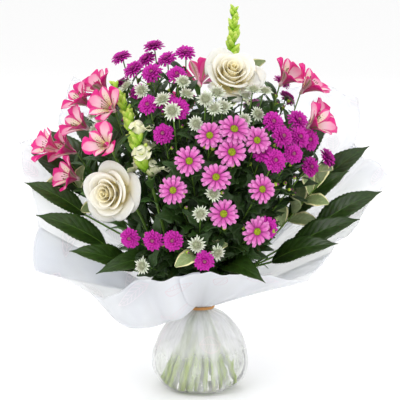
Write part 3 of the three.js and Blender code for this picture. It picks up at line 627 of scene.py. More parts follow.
# A piece in place of its CAD nodes, written in metres, welded, smooth and riding on the root.
def makePiece(name, shape, nodes):
    faces = shape["faces"]
    used = sorted(set(shape["look"].tolist()))
    mesh = bpy.data.meshes.new(name)
    points = shape["points"] * metre
    mesh.vertices.add(len(points))
    mesh.vertices.foreach_set("co", points.ravel())
    mesh.loops.add(faces.size)
    mesh.loops.foreach_set("vertex_index", faces.ravel().astype(np.int32))
    mesh.polygons.add(len(faces))
    mesh.polygons.foreach_set("loop_start", np.arange(len(faces), dtype=np.int32) * 4)
    mesh.polygons.foreach_set("material_index", np.searchsorted(used, shape["look"]).astype(np.int32))
    for look in used:
        mesh.materials.append(looks[lookOrder[look]])
    mesh.uv_layers.new(name="UVMap").uv.foreach_set("vector", shape["uv"][faces.ravel()].ravel())
    for key in ("tint", "side"):
        mesh.attributes.new(key, "FLOAT", "POINT").data.foreach_set("value", shape[key].astype(np.float32))
    mesh.update()
    mesh.validate()
    tidy = bmesh.new()
    tidy.from_mesh(mesh)
    bmesh.ops.remove_doubles(tidy, verts=tidy.verts, dist=weld["points"] * metre)
    bmesh.ops.dissolve_degenerate(tidy, edges=tidy.edges, dist=weld["edges"] * metre)
    tidy.to_mesh(mesh)
    tidy.free()
    mesh.polygons.foreach_set("use_smooth", np.full(len(mesh.polygons), True))
    mesh.update()
    piece = bpy.data.objects.new(name, mesh)
    bpy.context.scene.collection.objects.link(piece)
    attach(piece, "root")
    if nodes:
        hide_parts(*nodes)
    return piece


# Where the solids are: the same rules as in the CAD, and each node's own mesh says which of a
# rule's places was free.
dome = {"centre": 240, "halves": np.array([152.0, 140.0, 176.0])}
neck = {"height": 103, "spread": 0.03, "opening": 0.0007}
stem = {
    "foot": 6, "footSpread": 3.4, "turnBelow": 70, "turnAbove": 24, "levels": (114, 134),
    # how far over the neck a fork stands at least: at first, and where the film forces it down
    "leastFork": (34, 24),
}
collar = {
    "innerRadius": 16.3, "start": 106.2, "layerPitch": 1.4, "layerDrop": 1.2, "pleat": 0.022,
    "clearance": 5, "bellyReach": 150, "bulge": 26, "sag": 40,
    # every 22.5 degrees of bearing
    "slopes": [36, 41, 42, 44, 46, 46, 45, 46, 39, 17, 15, 28, 32, 30, 22, 30],
    "bellies": [0, 0, 0, 0, 0, 0, 0, 0, 0, 0, 0.75, 0.75, 0, 0.15, 0, 0],
}


def unit(v):
    return np.asarray(v, float) / max(np.linalg.norm(v), 1e-12)


def spun(side, axis, angle):
    # a unit arrow turned about an axis square to it
    return side * math.cos(angle) + np.cross(axis, side) * math.sin(angle)


def pointAt(stops, path, stop):
    return np.array([np.interp(stop, stops, path[:, j]) for j in range(3)])


def curve(a, b, c, t):
    # from a to c, drawn towards b
    return (1 - t) ** 2 * np.asarray(a) + 2 * t * (1 - t) * np.asarray(b) + t ** 2 * np.asarray(c)


def steps(count):
    return np.linspace(0, 1, count)[:, None]


def turned(bearing, radius, z):
    angle = math.radians(bearing)
    return np.array([radius * math.cos(angle), radius * math.sin(angle), z])


def onDome(place, lift=0.0):
    # where the sight line through a pixel meets the dome, lifted, and the way out of it there
    across = (place[0] - picture["centreColumn"]) * picture["mmPerPixel"]
    rise = (picture["baseRow"] - place[1]) * picture["mmPerPixel"]
    viewUp = np.array([0, towardsViewer[2], -towardsViewer[1]])
    centre = np.array([0, 0, dome["centre"]])
    flat = np.array([across, 0, 0]) + viewUp * (rise - centre @ viewUp)
    halves = dome["halves"] + lift
    start, along = flat / halves, towardsViewer / halves
    a, b, c = along @ along, start @ along, start @ start - 1
    reach = (math.sqrt(b * b - a * c) - b) / a if b * b - a * c > 0 else -b / a
    local = flat + towardsViewer * reach
    return local + centre, unit(local / halves ** 2)


def onDomeByTilt(bearing, angle):
    polar = math.radians(angle)
    local = turned(bearing, math.sin(polar), math.cos(polar)) * dome["halves"]
    return local + np.array([0, 0, dome["centre"]]), unit(local / dome["halves"] ** 2)


def roundCollar(key, bearing):
    step = (bearing % 360) / 22.5
    low = np.floor(step).astype(int)
    blend = 0.5 - 0.5 * np.cos((step - low) * np.pi)
    values = np.array(collar[key], float)
    return values[low % 16] * (1 - blend) + values[(low + 1) % 16] * blend


def collarSlope(bearing):
    return np.radians(roundCollar("slopes", bearing))


def stemPoint(slot, z):
    above = z - neck["height"]
    if above >= 0:
        grown = 1 + neck["spread"] * above + neck["opening"] * above * above
        turn = math.radians(stem["turnAbove"]) * min(above / 70, 1)
        plan = np.array([grown * math.cos(turn), grown * math.sin(turn)])
    else:
        share = above / (stem["foot"] - neck["height"])
        turn = math.radians(-stem["turnBelow"])
        foot = stem["footSpread"] * np.array([math.cos(turn), math.sin(turn)])
        plan = np.array([1.0, 0]) * (1 - share) + foot * share
    return np.array([slot[0] * plan[0] - slot[1] * plan[1], slot[0] * plan[1] + slot[1] * plan[0], z])


def forkHeight(slot, point, share):
    growth = 0.5 * math.hypot(point[0], point[1]) / max(np.linalg.norm(slot), 1)
    rise = math.sqrt(neck["spread"] ** 2 + 4 * neck["opening"] * max(growth - 1, 0)) - neck["spread"]
    widest = neck["height"] + rise / (2 * neck["opening"])
    usual, forced = stem["leastFork"]
    top = max(neck["height"] + usual, min(widest, neck["height"] + share * (point[2] - neck["height"])))

    def inside(p):
        out = math.hypot(p[0], p[1]) - collar["innerRadius"]
        slope = collarSlope(math.degrees(math.atan2(p[1], p[0])))
        return p[2] > collar["start"] + (out + collar["clearance"]) * math.tan(slope)

    while top > neck["height"] + forced and not inside(stemPoint(slot, top)):
        top -= 3
    return top


class CadNode:
    # the welded mesh of one CAD node, with the line of its stem
    def __init__(self, name, centre, share):
        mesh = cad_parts[name].data
        points = np.empty(len(mesh.vertices) * 3, np.float32)
        mesh.vertices.foreach_get("co", points)
        self.points = points.reshape(-1, 3).astype(float) / metre
        near = self.points[np.abs(self.points[:, 2] - neck["height"]) < 0.6]
        low, high = near.min(0), near.max(0)
        self.slot = ((low + high) / 2)[:2]
        self.top = forkHeight(self.slot, centre, share)
        levels = (stem["foot"], neck["height"], *stem["levels"])
        self.heights = [z for z in levels if z < self.top - 8] + [self.top]

    def atHeight(self, z):
        return pointAt(self.heights, np.array([stemPoint(self.slot, h) for h in self.heights]), z)

    def miss(self, point):
        return np.linalg.norm(self.points - point, axis=1).min()

    def path(self):
        pairs = zip(self.heights[:-1], self.heights[1:])
        fine = np.unique(np.concatenate([np.linspace(low, high, 5) for low, high in pairs]))
        return np.array([self.atHeight(z) for z in fine])


def leafFace(out, inward):
    # leaves turn their upper faces up and to the front
    return up * 0.55 + towardsViewer * 0.85 - unit([out[0], out[1], 0]) * inward


def frameAt(forward, normal):
    # columns: across, forward, upper face
    y = unit(forward)
    x = unit(np.cross(y, normal))
    return np.stack([x, y, np.cross(x, y)], 1)


def facing(normal, spin):
    # the turn that takes +Z to the normal, after a spin about +Z
    n = unit(normal)
    v = np.cross(up, n)
    skew = np.array([[0, -v[2], v[1]], [v[2], 0, -v[0]], [-v[1], v[0], 0]])
    turn = np.eye(3) + skew + skew @ skew / (1 + n[2])
    c, s = math.cos(spin), math.sin(spin)
    return turn @ np.array([[c, -s, 0], [s, c, 0], [0, 0, 1]])


# Blooms, each facing +Z about its own origin.
rose = {
    "width": 72, "petals": 19, "grid": (21, 19), "thickness": 0.35,
    "heart": 1.4,    # radius of the innermost wrap
    "body": 23,    # radius of the outermost cup where its wall starts to lean out
    "flare": (0.5, 16),    # how far the rim leans out past that, innermost and outermost
    "wrap": (120, 66),    # half the turn that the heart's petals go round it, and how much less outside
    "top": 15,    # height of the heart's rims
    "fall": 17,    # how much lower the outermost rims stand
    "corner": (2.5, 11),    # how far a petal's corners fall, at the heart and more outside
}


def roseBloom(draw):
    # Petals wind out from the heart by the golden angle. The inner ones stand steep and wrap the
    # heart, the outer ones are separate rounded shells that lean out, each a little its own way.
    r = rose["width"] / 2
    rows, columns = rose["grid"]
    k = np.arange(rose["petals"])
    share = (k / (rose["petals"] - 1))[:, None, None]
    v = np.linspace(0, 1, rows)[None, :, None]
    u = np.linspace(-1, 1, columns)[None, None, :]
    angle = (k * goldenAngle)[:, None, None]
    some = draw.uniform(-1, 1, (6, rose["petals"], 1, 1))
    cupRadius = rose["heart"] + (rose["body"] - rose["heart"]) * share
    least, most = rose["flare"]
    flare = least + (most - least) * share ** 1.4 * (1 + 0.22 * some[0])
    top = rose["top"] - rose["fall"] * share ** 1.7 + (0.3 + 2.6 * share) * some[1]
    wide = np.radians(rose["wrap"][0] - rose["wrap"][1] * share ** 0.7)
    side = u * wide * np.sin(np.pi / 2 * np.clip(0.25 + v * 1.1, 0, 1))
    corner = np.abs(u) ** 2.2 * np.clip(v - 0.2, 0, 1) * 1.25
    lean = np.clip((v - 0.38) / 0.62, 0, 1)
    cupPart = np.sin(np.pi / 2 * np.clip(v / 0.45, 0, 1)) ** 0.8
    out = 1.0 + (cupRadius - 1.0) * cupPart + flare * lean ** 1.4 * (1 - 0.75 * corner)
    out = out * (1 + (0.10 + 0.05 * some[3]) * u * (1 - 0.2 * share))
    low = -0.5 * r
    climb = 0.6 * v + 0.4 * (1 - (1 - v) ** 2)
    curl = np.clip((v - 0.8) / 0.2, 0, 1) ** 2 * (1 + 0.8 * share * u * some[5])
    height = low + (top - low) * climb - (0.3 + 3.0 * share) * curl
    height = height - (rose["corner"][0] + rose["corner"][1] * share) * corner
    height = height + 4.0 * share * (1 - np.abs(u)) ** 1.4 * v ** 6
    out = out + (0.2 + 1.6 * share) * curl
    wave = (0.2 + 1.9 * share) * np.sin(3.0 * u + 6 * some[2]) * v ** 4
    turn = angle + side + 0.3 * some[4] * share
    out = out + 0.6 * wave
    grid = np.stack([out * np.cos(turn), out * np.sin(turn), height + 0.8 * wave + 0 * turn], -1)
    # each petal's place from the heart is its tint, so the inner petals come out darker: painted shade deep
    # in the bloom, over the heart's own yellow
    return blades(grid[:, :, ::-1], rose["thickness"], "rose", share.ravel())


ray = {
    "root": 4.0, "notch": 0.09, "grid": (8, 7),
    "stops": [(0, 0.5), (0.4, 0.8), (0.75, 1), (0.92, 0.9), (1, 0.62)],
}
santini = {
    "count": (15, 11), "seeds": 70,
    "outer": {**ray, "length": 15.4, "width": 5.4, "bend": (16, -14), "cup": 0.2, "lift": 0.2,
              "loose": 0.12},
    "inner": {**ray, "length": 12.6, "width": 4.8, "bend": (32, -2), "cup": 0.25, "lift": 0.9,
              "loose": 0.14},
    "disc": [(0, 3.3), (2.5, 3.1), (4.2, 2.4), (5.2, 0.9), (4.9, 0), (3.5, -2.2), (1.2, -4.4), (0, -4.5)],
}


def santiniBloom(draw):
    outer, inner = santini["count"]
    seeds = phyllotaxis(santini["seeds"], 4.8, 2.2) + np.array([0, 0, 0.9])
    heads = seeds * [1.04, 1.04, 1] + [0, 0, 0.55]
    return joined([
        petalRing(roundAngles(outer), santini["outer"], "santini", draw),
        petalRing(roundAngles(inner, 0.5), santini["inner"], "santini", draw, 0.6),
        turnedForm(santini["disc"][::-1], 16, "disc", 0.5),
        pins(seeds - [0, 0, 0.6], heads, 0.36, 0.4, "disc", 0.4),
        calyx(draw, 5.5, 3.4),
    ])


def calyx(draw, reach, depth):
    spec = {"root": 1.0, "length": reach, "width": 2.6, "bend": (48, 26), "cup": 0.2, "lift": -depth,
            "stops": [(0, 0.8), (0.5, 1), (1, 0.3)], "grid": (3, 3)}
    return petalRing(roundAngles(8), spec, "foliage", draw)


aster = {
    "layers": [
        # count, root, length, width, first and last slope, lift
        (24, 2.4, 10.2, 2.5, 4, -14, 0.0),
        (24, 2.3, 9.6, 2.5, 20, -2, 0.7),
        (22, 2.2, 8.4, 2.4, 36, 10, 1.3),
        (18, 2.0, 6.6, 2.2, 52, 26, 1.9),
        (14, 1.8, 4.6, 1.9, 66, 46, 2.3),
    ],
}


def asterBloom(draw):
    parts = []
    for k, (count, root, length, width, low, high, lift) in enumerate(aster["layers"]):
        spec = {"root": root, "length": length, "width": width, "bend": (low, high), "cup": 0.3,
                "lift": lift, "loose": 0.13, "stops": [(0, 0.6), (0.5, 0.95), (0.85, 1), (1, 0.72)],
                "grid": (5, 3), "thickness": 0.3, "round": 0.4}
        parts.append(petalRing(roundAngles(count, 0.37 * k), spec, "aster", draw, 0.35 + 0.12 * k))
    seeds = phyllotaxis(30, 2.3, 1.2) + np.array([0, 0, 3.2])
    parts.append(pins(seeds - [0, 0, 1.6], seeds + [0, 0, 0.9], 0.24, 0.42, "asterHeart", 0.5))
    heart = [(0, 4.3), (1.3, 4.0), (2.2, 3.2), (2.3, 1.6), (0, 1.4)]
    parts.append(turnedForm(heart[::-1], 10, "asterHeart"))
    cup = [(0, -4.2), (1.1, -4.1), (2.6, -2.4), (3.0, -0.6), (2.4, 1.2), (0, 2.2)]
    parts.append(turnedForm(cup, 10, "foliage"))
    parts.append(calyx(draw, 4.0, 2.6))
    return joined(parts)


astrantia = {
    "bracts": 17,
    "bract": {"root": 2.2, "length": 9.0, "width": 2.7, "bend": (34, 6), "cup": 0.3, "lift": -0.6,
              "stops": [(0, 0.5), (0.4, 1), (0.75, 0.7), (1, 0.06)], "grid": (7, 3), "thickness": 0.3,
              "loose": 0.18},
    "florets": 44, "styles": 44,
}


def astrantiaBloom(draw):
    # a ruff of pointed bracts round a pincushion: small florets on stalks, and thin pale styles
    angles = roundAngles(astrantia["bracts"])
    shorter = {**astrantia["bract"], "length": 7.4, "bend": (52, 26)}
    seeds = phyllotaxis(astrantia["florets"], 3.9, 2.4)
    feet = seeds * [0.3, 0.3, 0.2] + np.array([0, 0, 0.6])
    heads = seeds * [1.35, 1.35, 1.3] + np.array([0, 0, 3.2]) + draw.uniform(-0.6, 0.6, seeds.shape)
    thin = phyllotaxis(astrantia["styles"], 4.4, 1.8)
    tips = thin * [1.8, 1.8, 1.3] + np.array([0, 0, 4.6]) + draw.uniform(-0.8, 0.8, thin.shape)
    cup = [(0, -4.2), (0.9, -4.1), (2.0, -1.6), (2.2, 0.2), (0, 0.8)]
    cushion = [(0, 0.1), (2.8, 0.3), (3.4, 1.3), (2.8, 2.6), (1.4, 3.4), (0, 3.6)]
    return joined([
        petalRing(angles, astrantia["bract"], "astrantia", draw, 0.8),
        petalRing(angles + 0.17, shorter, "astrantia", draw, 0.4),
        turnedForm(cushion, 12, "pins", 0.4),
        pins(feet, heads, 0.2, 0.72, "pins", 0.7),
        pins(thin * 0.3, tips, 0.12, 0.34, "filament", 0.9),
        turnedForm(cup, 9, "foliage"),
    ])


alstroemeria = {
    "outer": {"root": 3.2, "length": 29, "width": 25, "bend": (64, 24), "cup": 0.38, "lift": 1.5,
              "stops": [(0, 0.16), (0.25, 0.34), (0.5, 0.72), (0.75, 1), (0.92, 0.82), (1, 0.2)],
              "grid": (12, 9), "ripple": 0.16, "waves": 9.0, "thickness": 0.4, "round": 0.25},
    "inner": {"root": 2.8, "length": 28, "width": 14, "bend": (70, 38), "cup": 0.3, "lift": 1.8,
              "stops": [(0, 0.22), (0.3, 0.45), (0.65, 1), (0.85, 0.85), (1, 0.12)],
              "grid": (12, 7), "ripple": 0.08, "waves": 8.0, "thickness": 0.35, "round": 0.2},
    "tube": [(0, -4.6), (1.2, -4.5), (2.8, -1.5), (3.4, 1.5), (4.4, 5), (3.8, 5), (0, 2.4)],
}


def alstroemeriaBloom(draw):
    wide = np.radians([30, 150, 270]) + np.pi
    slim = np.radians([90, 210, 330]) + np.pi
    angles = np.linspace(0.3, 2.6, 6)
    feet = np.stack([1.2 * np.cos(angles), 1.2 * np.sin(angles), np.full(6, 3.0)], -1)
    heads = np.stack([6.5 * np.cos(angles), 6.5 * np.sin(angles), 19 + draw.uniform(-2, 2, 6)], -1)
    return joined([
        petalRing(wide, alstroemeria["outer"], "tepal", draw),
        petalRing(slim, alstroemeria["inner"], "tepalInner", draw, 0.6),
        turnedForm(alstroemeria["tube"], 12, "tepal"),
        pins(feet, heads, 0.28, 0.9, "anther", 0.86),
    ])


# Leaves: root at the origin, tip along +Y, upper face +Z.
bigLeaf = {"length": 92, "slimness": 0.35, "arch": 0.1, "fold": 0.25, "grid": (37, 9), "tooth": 0.07}
smallLeaf = {"length": 40, "width": 19, "arch": 0.12, "fold": 0.2, "grid": (15, 7)}


def bladeGrid(length, half, spec, wave, phase, petiole=0):
    # half(share) is the half width; the blade arches up between its ends and folds along its rib,
    # and every other row is drawn in where its edge has teeth
    rows, columns = spec["grid"]
    tooth = spec.get("tooth", 0)
    v = np.linspace(0, 1, rows)[:, None]
    u = np.linspace(-1, 1, columns)[None, :]
    width = half(v) * (1 - tooth * (np.arange(rows)[:, None] % 2) * np.abs(u) ** 4)
    x = width * u
    y = petiole + length * v + 0 * u
    z = 4 * spec["arch"] * length * v * (1 - v) + spec["fold"] * np.abs(x)
    z = z + wave * width * np.sin(v * 15 + phase + np.sign(u)) * u ** 2
    return np.stack([x, y, z], -1)


def bigLeafShape(length, petiole, droop, draw):
    width = length * bigLeaf["slimness"]

    def half(v):
        body = np.sin(np.pi * np.minimum(1, 0.04 + 0.94 * v ** 0.85))
        return np.maximum(0.25, width / 2 * body * (1 - 0.75 * np.clip((v - 0.86) / 0.14, 0, 1)))

    grid = bladeGrid(length, half, bigLeaf, 0.05, draw.uniform(0, 6), petiole)
    grid[..., 2] -= droop * steps(len(grid)) ** 2
    leaf = blades(grid[None], 0.45, "bigLeaf", draw.uniform(0.2, 0.8))
    # the stalk runs on under the blade as its midrib
    rib = grid[::3, bigLeaf["grid"][1] // 2] * [0, 1, 1] - [0, 0, 0.4]
    path = np.concatenate([[[0, 0, 0], [0, petiole * 0.5, 0.5]], rib])
    radii = np.linspace(1.25, 0.3, len(path))
    return joined([leaf, tube(path, radii, 6, "stem", 0.3)])


def smallLeafShape(length, draw):
    def half(v):
        body = np.sin(np.pi * np.clip(0.05 + 0.92 * v ** 1.15, 0, 1)) ** 0.8
        return np.maximum(0.25, smallLeaf["width"] / 2 * body)

    grid = bladeGrid(length, half, smallLeaf, 0.1, draw.uniform(0, 6))
    return blades(grid[None], 0.4, "smallLeaf", draw.uniform(0.1, 0.9))


def sprayLeaf(length, width, lobes, look, draw):
    # a soft leaf with rounded lobes: the half width swells and pinches along the blade
    def half(v):
        body = np.sin(np.pi * np.clip(0.06 + 0.9 * v ** 1.1, 0, 1))
        lobed = 1 - 0.42 * (0.5 - 0.5 * np.cos(2 * np.pi * lobes * v)) if lobes else 1
        return np.maximum(0.3, width / 2 * body * lobed)

    spec = {"arch": 0.14, "fold": 0.18, "grid": (25 if lobes else 11, 5)}
    grid = bladeGrid(length, half, spec, 0.08, draw.uniform(0, 6))
    return blades(grid[None], 0.35, look, draw.uniform(0.1, 0.9))


# Sprays.
kinds = {
    # crown: height of the CAD bloom's middle; loose: how far a bloom may face another way;
    # scale: least and greatest size; leaf: length, width, lobes and look
    "aster": {
        "bloom": asterBloom, "crown": 4.2, "loose": 0.2, "scale": (0.92, 1.08),
        "leaf": (30, 8.5, 0, "foliage"), "leaves": 18},
    "santini": {
        "bloom": santiniBloom, "crown": 3.4, "loose": 0.16, "scale": (0.84, 0.97),
        "leaf": (36, 22, 3, "foliage"), "leaves": 17},
    "astrantia": {
        "bloom": astrantiaBloom, "crown": 5.0, "loose": 0.4, "scale": (0.9, 1.05),
        "leaf": (30, 14, 2, "foliage"), "leaves": 15},
    "alstroemeria": {
        "bloom": alstroemeriaBloom, "crown": 6.72, "loose": 0.06, "scale": (0.94, 1.04),
        "leaf": (46, 12, 0, "longLeaf"), "leaves": 13},
}
stalk = {"radius": 0.85, "sides": 6, "forkPitch": 6, "leastLean": 0.5}
leafRoom = 4    # least height of a stalk's leaf over the film
leafFocus = 150    # height on the axis that the leaves' faces turn away from
leafReach = {"level": 0.97, "short": 0.55}    # share of the dome, and what is left of a leaf past it
nearEnough = {"bloom": 0.35, "roughly": 3, "leaf": 1.5}    # from a CAD vertex, in mm
bagStem = {"levels": (60, 92), "radii": (2.5, 0.95)}


def stemRadii(path):
    # thick in the bag, drawn in through the tie
    return np.interp(path[:, 2], bagStem["levels"], bagStem["radii"])


def stemShape(node):
    # lime below the tie, partly the stems' own paler green and partly painted light that makes up for the
    # shade of the bag and water; their own darker green among the leaves
    path = node.path()
    tint = rng.uniform(0, 1)
    split = np.searchsorted(path[:, 2], neck["height"])
    low, high = path[:split + 1], path[split:]
    return joined([
        tube(low, stemRadii(low), 8, "paleStem", tint),
        tube(high, stemRadii(high), 8, "stem", tint),
    ])


def poseOf(node, spot, kind, k):
    # the CAD rule's tries for one bloom: the one whose crown is in the node's mesh
    point, outward = spot
    normal = outward * 0.8 + (towardsViewer * 0.35 if point[1] < 30 else 0) + up * 0.12
    normal = unit(normal)
    best = None
    for i in range(36):
        turn = i * leafTurn
        sidestep = np.array([math.cos(turn), 0, math.sin(turn)]) * 0.8 * i
        lift = ((i % 3) - 1) * 5 if i else 0
        place = point + normal * lift + sidestep
        start = node.atHeight(node.top - 3 - stalk["forkPitch"] * k - (i % 4) * 2)
        lean = unit(place - start)
        face = normal.copy()
        while face @ lean < stalk["leastLean"]:
            face = unit(face + lean * 0.1)
        miss = node.miss(place + face * kinds[kind]["crown"])
        if best is None or miss < best[0]:
            best = (miss, place, face, start)
        if miss < nearEnough["bloom"]:
            break
    return best


def makeSpray(name, kind, spots):
    centre = np.mean([p for p, _ in spots], axis=0)
    node = CadNode(name, centre, 0.56)
    spec = kinds[kind]
    line = node.path()
    heads, greens = [], [stemShape(node)]
    greens.extend(stalkLeaves(line[line[:, 2] > 120], spec, spec["leaves"] + 2, 0.2, 1.0))
    worst = 0
    for k, spot in enumerate(spots):
        miss, place, face, start = poseOf(node, spot, kind, k)
        worst = max(worst, miss)
        if miss > nearEnough["roughly"]:
            continue
        loose = spec["loose"] * rng.uniform(-1, 1, 3)
        turn = facing(unit(face + loose), k * 0.7 + loose[0])
        size = rng.uniform(*spec["scale"])
        heads.append(moved(spec["bloom"](rng), turn, place, size, rng.uniform(-0.2, 0.2)))
        foot = place - face * 4
        bend = foot - face * 6
        path = curve(start, 0.4 * bend + 0.3 * (start + foot), foot, steps(7))
        greens.append(tube(path, stalk["radius"], stalk["sides"], "stem", rng.uniform(0, 1)))
        greens.extend(stalkLeaves(path, spec, spec["leaves"]))
        if kind in ("aster", "santini"):
            greens.extend(budSprigs(path, kind, rng.integers(1, 4), rng))
    if worst > nearEnough["bloom"]:
        print(name, "worst miss", round(float(worst), 2))
    makePiece(name + "_blooms", joined(heads), [name])
    makePiece(name + "_stems", joined(greens), [])


shutBud = [(0, -1.0), (0.7, -0.9), (1.0, -0.2), (0.85, 0.5), (0.35, 1.0), (0, 1.05)]


def budSprigs(path, look, count, draw):
    # small shut heads, each on a thin side stalk
    stops = np.linspace(0, 1, len(path))
    made = []
    for _ in range(count):
        root = pointAt(stops, path, draw.uniform(0.55, 0.85))
        aim = unit(unit(path[-1] - path[0]) + 0.8 * draw.uniform(-1, 1, 3) + 0.3 * towardsViewer)
        tip = root + aim * draw.uniform(15, 24)
        if not clearOfBlooms(tip[None]):
            continue
        middle = (root + tip) / 2 + up * 2
        made.append(tube(curve(root, middle, tip, steps(6)), 0.5, 5, "stem", draw.uniform(0, 1)))
        size = draw.uniform(1.8, 2.8)
        turn = facing(aim, 0)
        made.append(moved(turnedForm(np.array(shutBud) * size, 9, "paleStem"), turn, tip))
        tuft = {"root": 0.3 * size, "length": size * 1.3, "width": size * 0.6, "bend": (60, 110),
                "cup": 0.3, "lift": 0.3 * size, "stops": [(0, 0.7), (0.5, 1), (1, 0.4)], "grid": (3, 3)}
        made.append(moved(petalRing(roundAngles(8), tuft, look, draw), turn, tip))
    return made


# Where blooms stand and which way they face. A leaf or bud keeps out of the room round each one,
# unless it lies that far behind its face.
crowns = {"points": [], "faces": [], "room": 18.0, "behind": -1.5, "roseDepth": 27, "rosePitch": 23}


def noteCrowns():
    for place in [place for sprays in sprayPlaces.values() for row in sprays for place in row]:
        point, outward = onDome(place)
        crowns["points"].append(point)
        crowns["faces"].append(unit(outward * 0.8 + towardsViewer * 0.35 + up * 0.12))
    for place, _ in roses.values():
        point, face = roseSeat(place)
        middle = point - crowns["roseDepth"] * face
        for across, rise in itertools.product((-1, 0, 1), repeat=2):
            step = across * np.array([1, 0, 0]) + rise * up
            crowns["points"].append(middle + crowns["rosePitch"] * step)
            crowns["faces"].append(face)


def clearOfBlooms(points):
    # true if no point stands beside or in front of a bloom's face
    away = points[:, None] - np.array(crowns["points"])[None]
    ahead = np.sum(away * np.array(crowns["faces"])[None], axis=-1)
    near = np.linalg.norm(away, axis=-1) < crowns["room"]
    return not np.any(near & (ahead > crowns["behind"]))


def aboveCollar(points):
    # the least height of the points over the film, which is lower still where it bellies out
    radius = np.hypot(points[:, 0], points[:, 1])
    slope = collarSlope(np.degrees(np.arctan2(points[:, 1], points[:, 0])))
    film = collar["start"] + np.maximum(radius - collar["innerRadius"], 0) * np.tan(slope)
    return np.min(points[:, 2] - film)


def stalkLeaves(path, spec, count, first=0.12, last=0.9):
    # Leaves up the stalk, each a golden angle on from the last. They reach out and up and turn
    # their faces outwards. Those that would pass the dome are cut short, and those that would come
    # through the film or a bloom are left out.
    length, width, lobes, look = spec["leaf"]
    stops = np.linspace(0, 1, len(path))
    forward = unit(path[-1] - path[0])
    across = unit(np.cross(forward, up + 0.01))
    made = []
    for k in range(count):
        root = pointAt(stops, path, first + (last - first) * (k + rng.uniform(0, 0.8)) / count)
        outward = unit(root - [0, 0, leafFocus])
        side = spun(across, forward, k * leafTurn + rng.uniform(0, 0.8))
        out = unit(forward * 0.55 + side + outward * 0.25)
        size = length * rng.uniform(0.75, 1.2)
        level = np.linalg.norm((root + out * size - [0, 0, dome["centre"]]) / dome["halves"])
        if level > leafReach["level"]:
            size *= leafReach["short"]
        leaf = sprayLeaf(size, width * size / length * rng.uniform(0.85, 1.15), lobes, look, rng)
        leaf = moved(leaf, frameAt(out, outward + up * 0.4 + towardsViewer * 0.3), root)
        if aboveCollar(leaf["points"]) > leafRoom and clearOfBlooms(leaf["points"]):
            made.append(leaf)
    return made


sprayPlaces = {
    # kind: sprays, each a row of blooms by their pixels in the 400 x 400 picture
    "alstroemeria": [
        [(88, 101), (107, 90), (117, 110), (88, 125)],
        [(74, 148), (55, 135), (76, 164), (115, 145)],
        [(302, 88), (314, 107), (309, 125), (284, 82)],
    ],
    "santini": [
        [(190, 160), (175, 187), (215, 175), (209, 136)],
        [(230, 152), (231, 130), (252, 140)],
        [(222, 209), (258, 186), (252, 224)],
    ],
    "aster": [
        [(135, 68), (122, 55), (147, 57), (154, 44), (154, 74), (140, 80)],
        [(178, 77), (168, 60), (186, 54), (170, 93), (143, 113), (180, 111), (166, 123)],
        [(295, 136), (269, 122), (276, 136), (295, 120), (307, 138), (286, 152), (311, 153), (323, 154)],
        [(259, 152), (262, 166), (266, 213)],
        [(156, 234), (134, 232), (177, 230), (204, 251)],
    ],
    "astrantia": [
        [(106, 120), (97, 113), (94, 129), (109, 131)],
        [(145, 92), (134, 87), (161, 106)],
        [(187, 97), (180, 122), (195, 125), (184, 86)],
        [(213, 111), (205, 102), (221, 109), (215, 95), (228, 123), (241, 121)],
        [(251, 92), (244, 84), (262, 92), (257, 103)],
        [(200, 207), (211, 192), (198, 229), (217, 236), (144, 243)],
    ],
}
backSprays = [
    # kind, bearing and the tilt of each bloom from the top of the dome
    ("aster", 28, (52, 64, 42)),
    ("santini", 58, (60, 46, 72)),
    ("alstroemeria", 90, (48, 64)),
    ("astrantia", 112, (58, 42, 70)),
    ("aster", 145, (58, 44, 68)),
]


def makeSprays():
    for kind, sprays in sprayPlaces.items():
        for i, places in enumerate(sprays):
            makeSpray(f"{kind}_spray_{i + 1}", kind, [onDome(p) for p in places])
    for i, (kind, bearing, tilts) in enumerate(backSprays):
        spots = [onDomeByTilt(bearing + 13 * math.sin(k * leafTurn), t) for k, t in enumerate(tilts)]
        makeSpray(f"{kind}_spray_back_{i + 1}", kind, spots)
    print("sprays made")


# Leafy stems.
bigLeafStems = [
    # bearing, the height aimed for, how far the blades droop, then each leaf's tip as bearing,
    # distance from the axis and height
    (130, 316, 4, [(127, 212, 352), (146, 200, 336), (104, 190, 362)]),
    (168, 238, 4, [(160, 198, 318), (172, 205, 296), (182, 214, 258)]),
    (205, 162, 4, [(196, 198, 238), (214, 178, 206), (234, 160, 182)]),
    (268, 236, 20, [(233, 162, 166), (297, 160, 166), (268, 146, 176)]),
    (335, 196, 4, [(326, 188, 216), (340, 196, 236), (351, 216, 262)]),
    (10, 262, 4, [(6, 204, 306), (28, 182, 336), (356, 176, 282)]),
    (60, 302, 4, [(48, 200, 322), (66, 196, 346), (84, 190, 330)]),
]
smallLeafStems = [
    # bearing, reach and height of the twig's end, leaves
    (176, 156, 254, 5), (62, 92, 366, 5), (348, 146, 262, 8), (262, 118, 196, 5), (100, 140, 300, 5),
]


def makeBigLeafStem(name, bearing, aim, droop, tips):
    node = CadNode(name, turned(bearing, 120, aim), 0.5)
    line = node.path()
    parts = [stemShape(node)]
    parts.extend(stalkLeaves(line[line[:, 2] > 118], {"leaf": (40, 17, 0, "foliage")}, 8, 0.1, 1.0))
    for k, (tipBearing, reach, height) in enumerate(tips):
        tries = []
        for i in range(60):
            swing = ((i * 5) % 19) - 9 if i else 0
            tip = turned(tipBearing + swing, reach - 3 * (i % 4), height + 5 * ((i % 7) - 2))
            tries.append((node.miss(tip), i, tip))
        miss, i, tip = min(tries, key=lambda t: t[0])
        if miss > nearEnough["leaf"]:
            print(name, "leaf", k, "is not in the CAD", round(float(miss), 1))
            continue
        join = node.atHeight(node.top - 2 - 7 * k - 3 * (i % 3))
        along = tip - join
        span = np.linalg.norm(along)
        length = min(bigLeaf["length"], span * 0.75) * (1 - 0.05 * (i % 4))
        turn = frameAt(along, leafFace(join + tip, 0.1))
        parts.append(moved(bigLeafShape(length, span - length, droop, rng), turn, join))
    makePiece(name + "_leaves", joined(parts), [name])


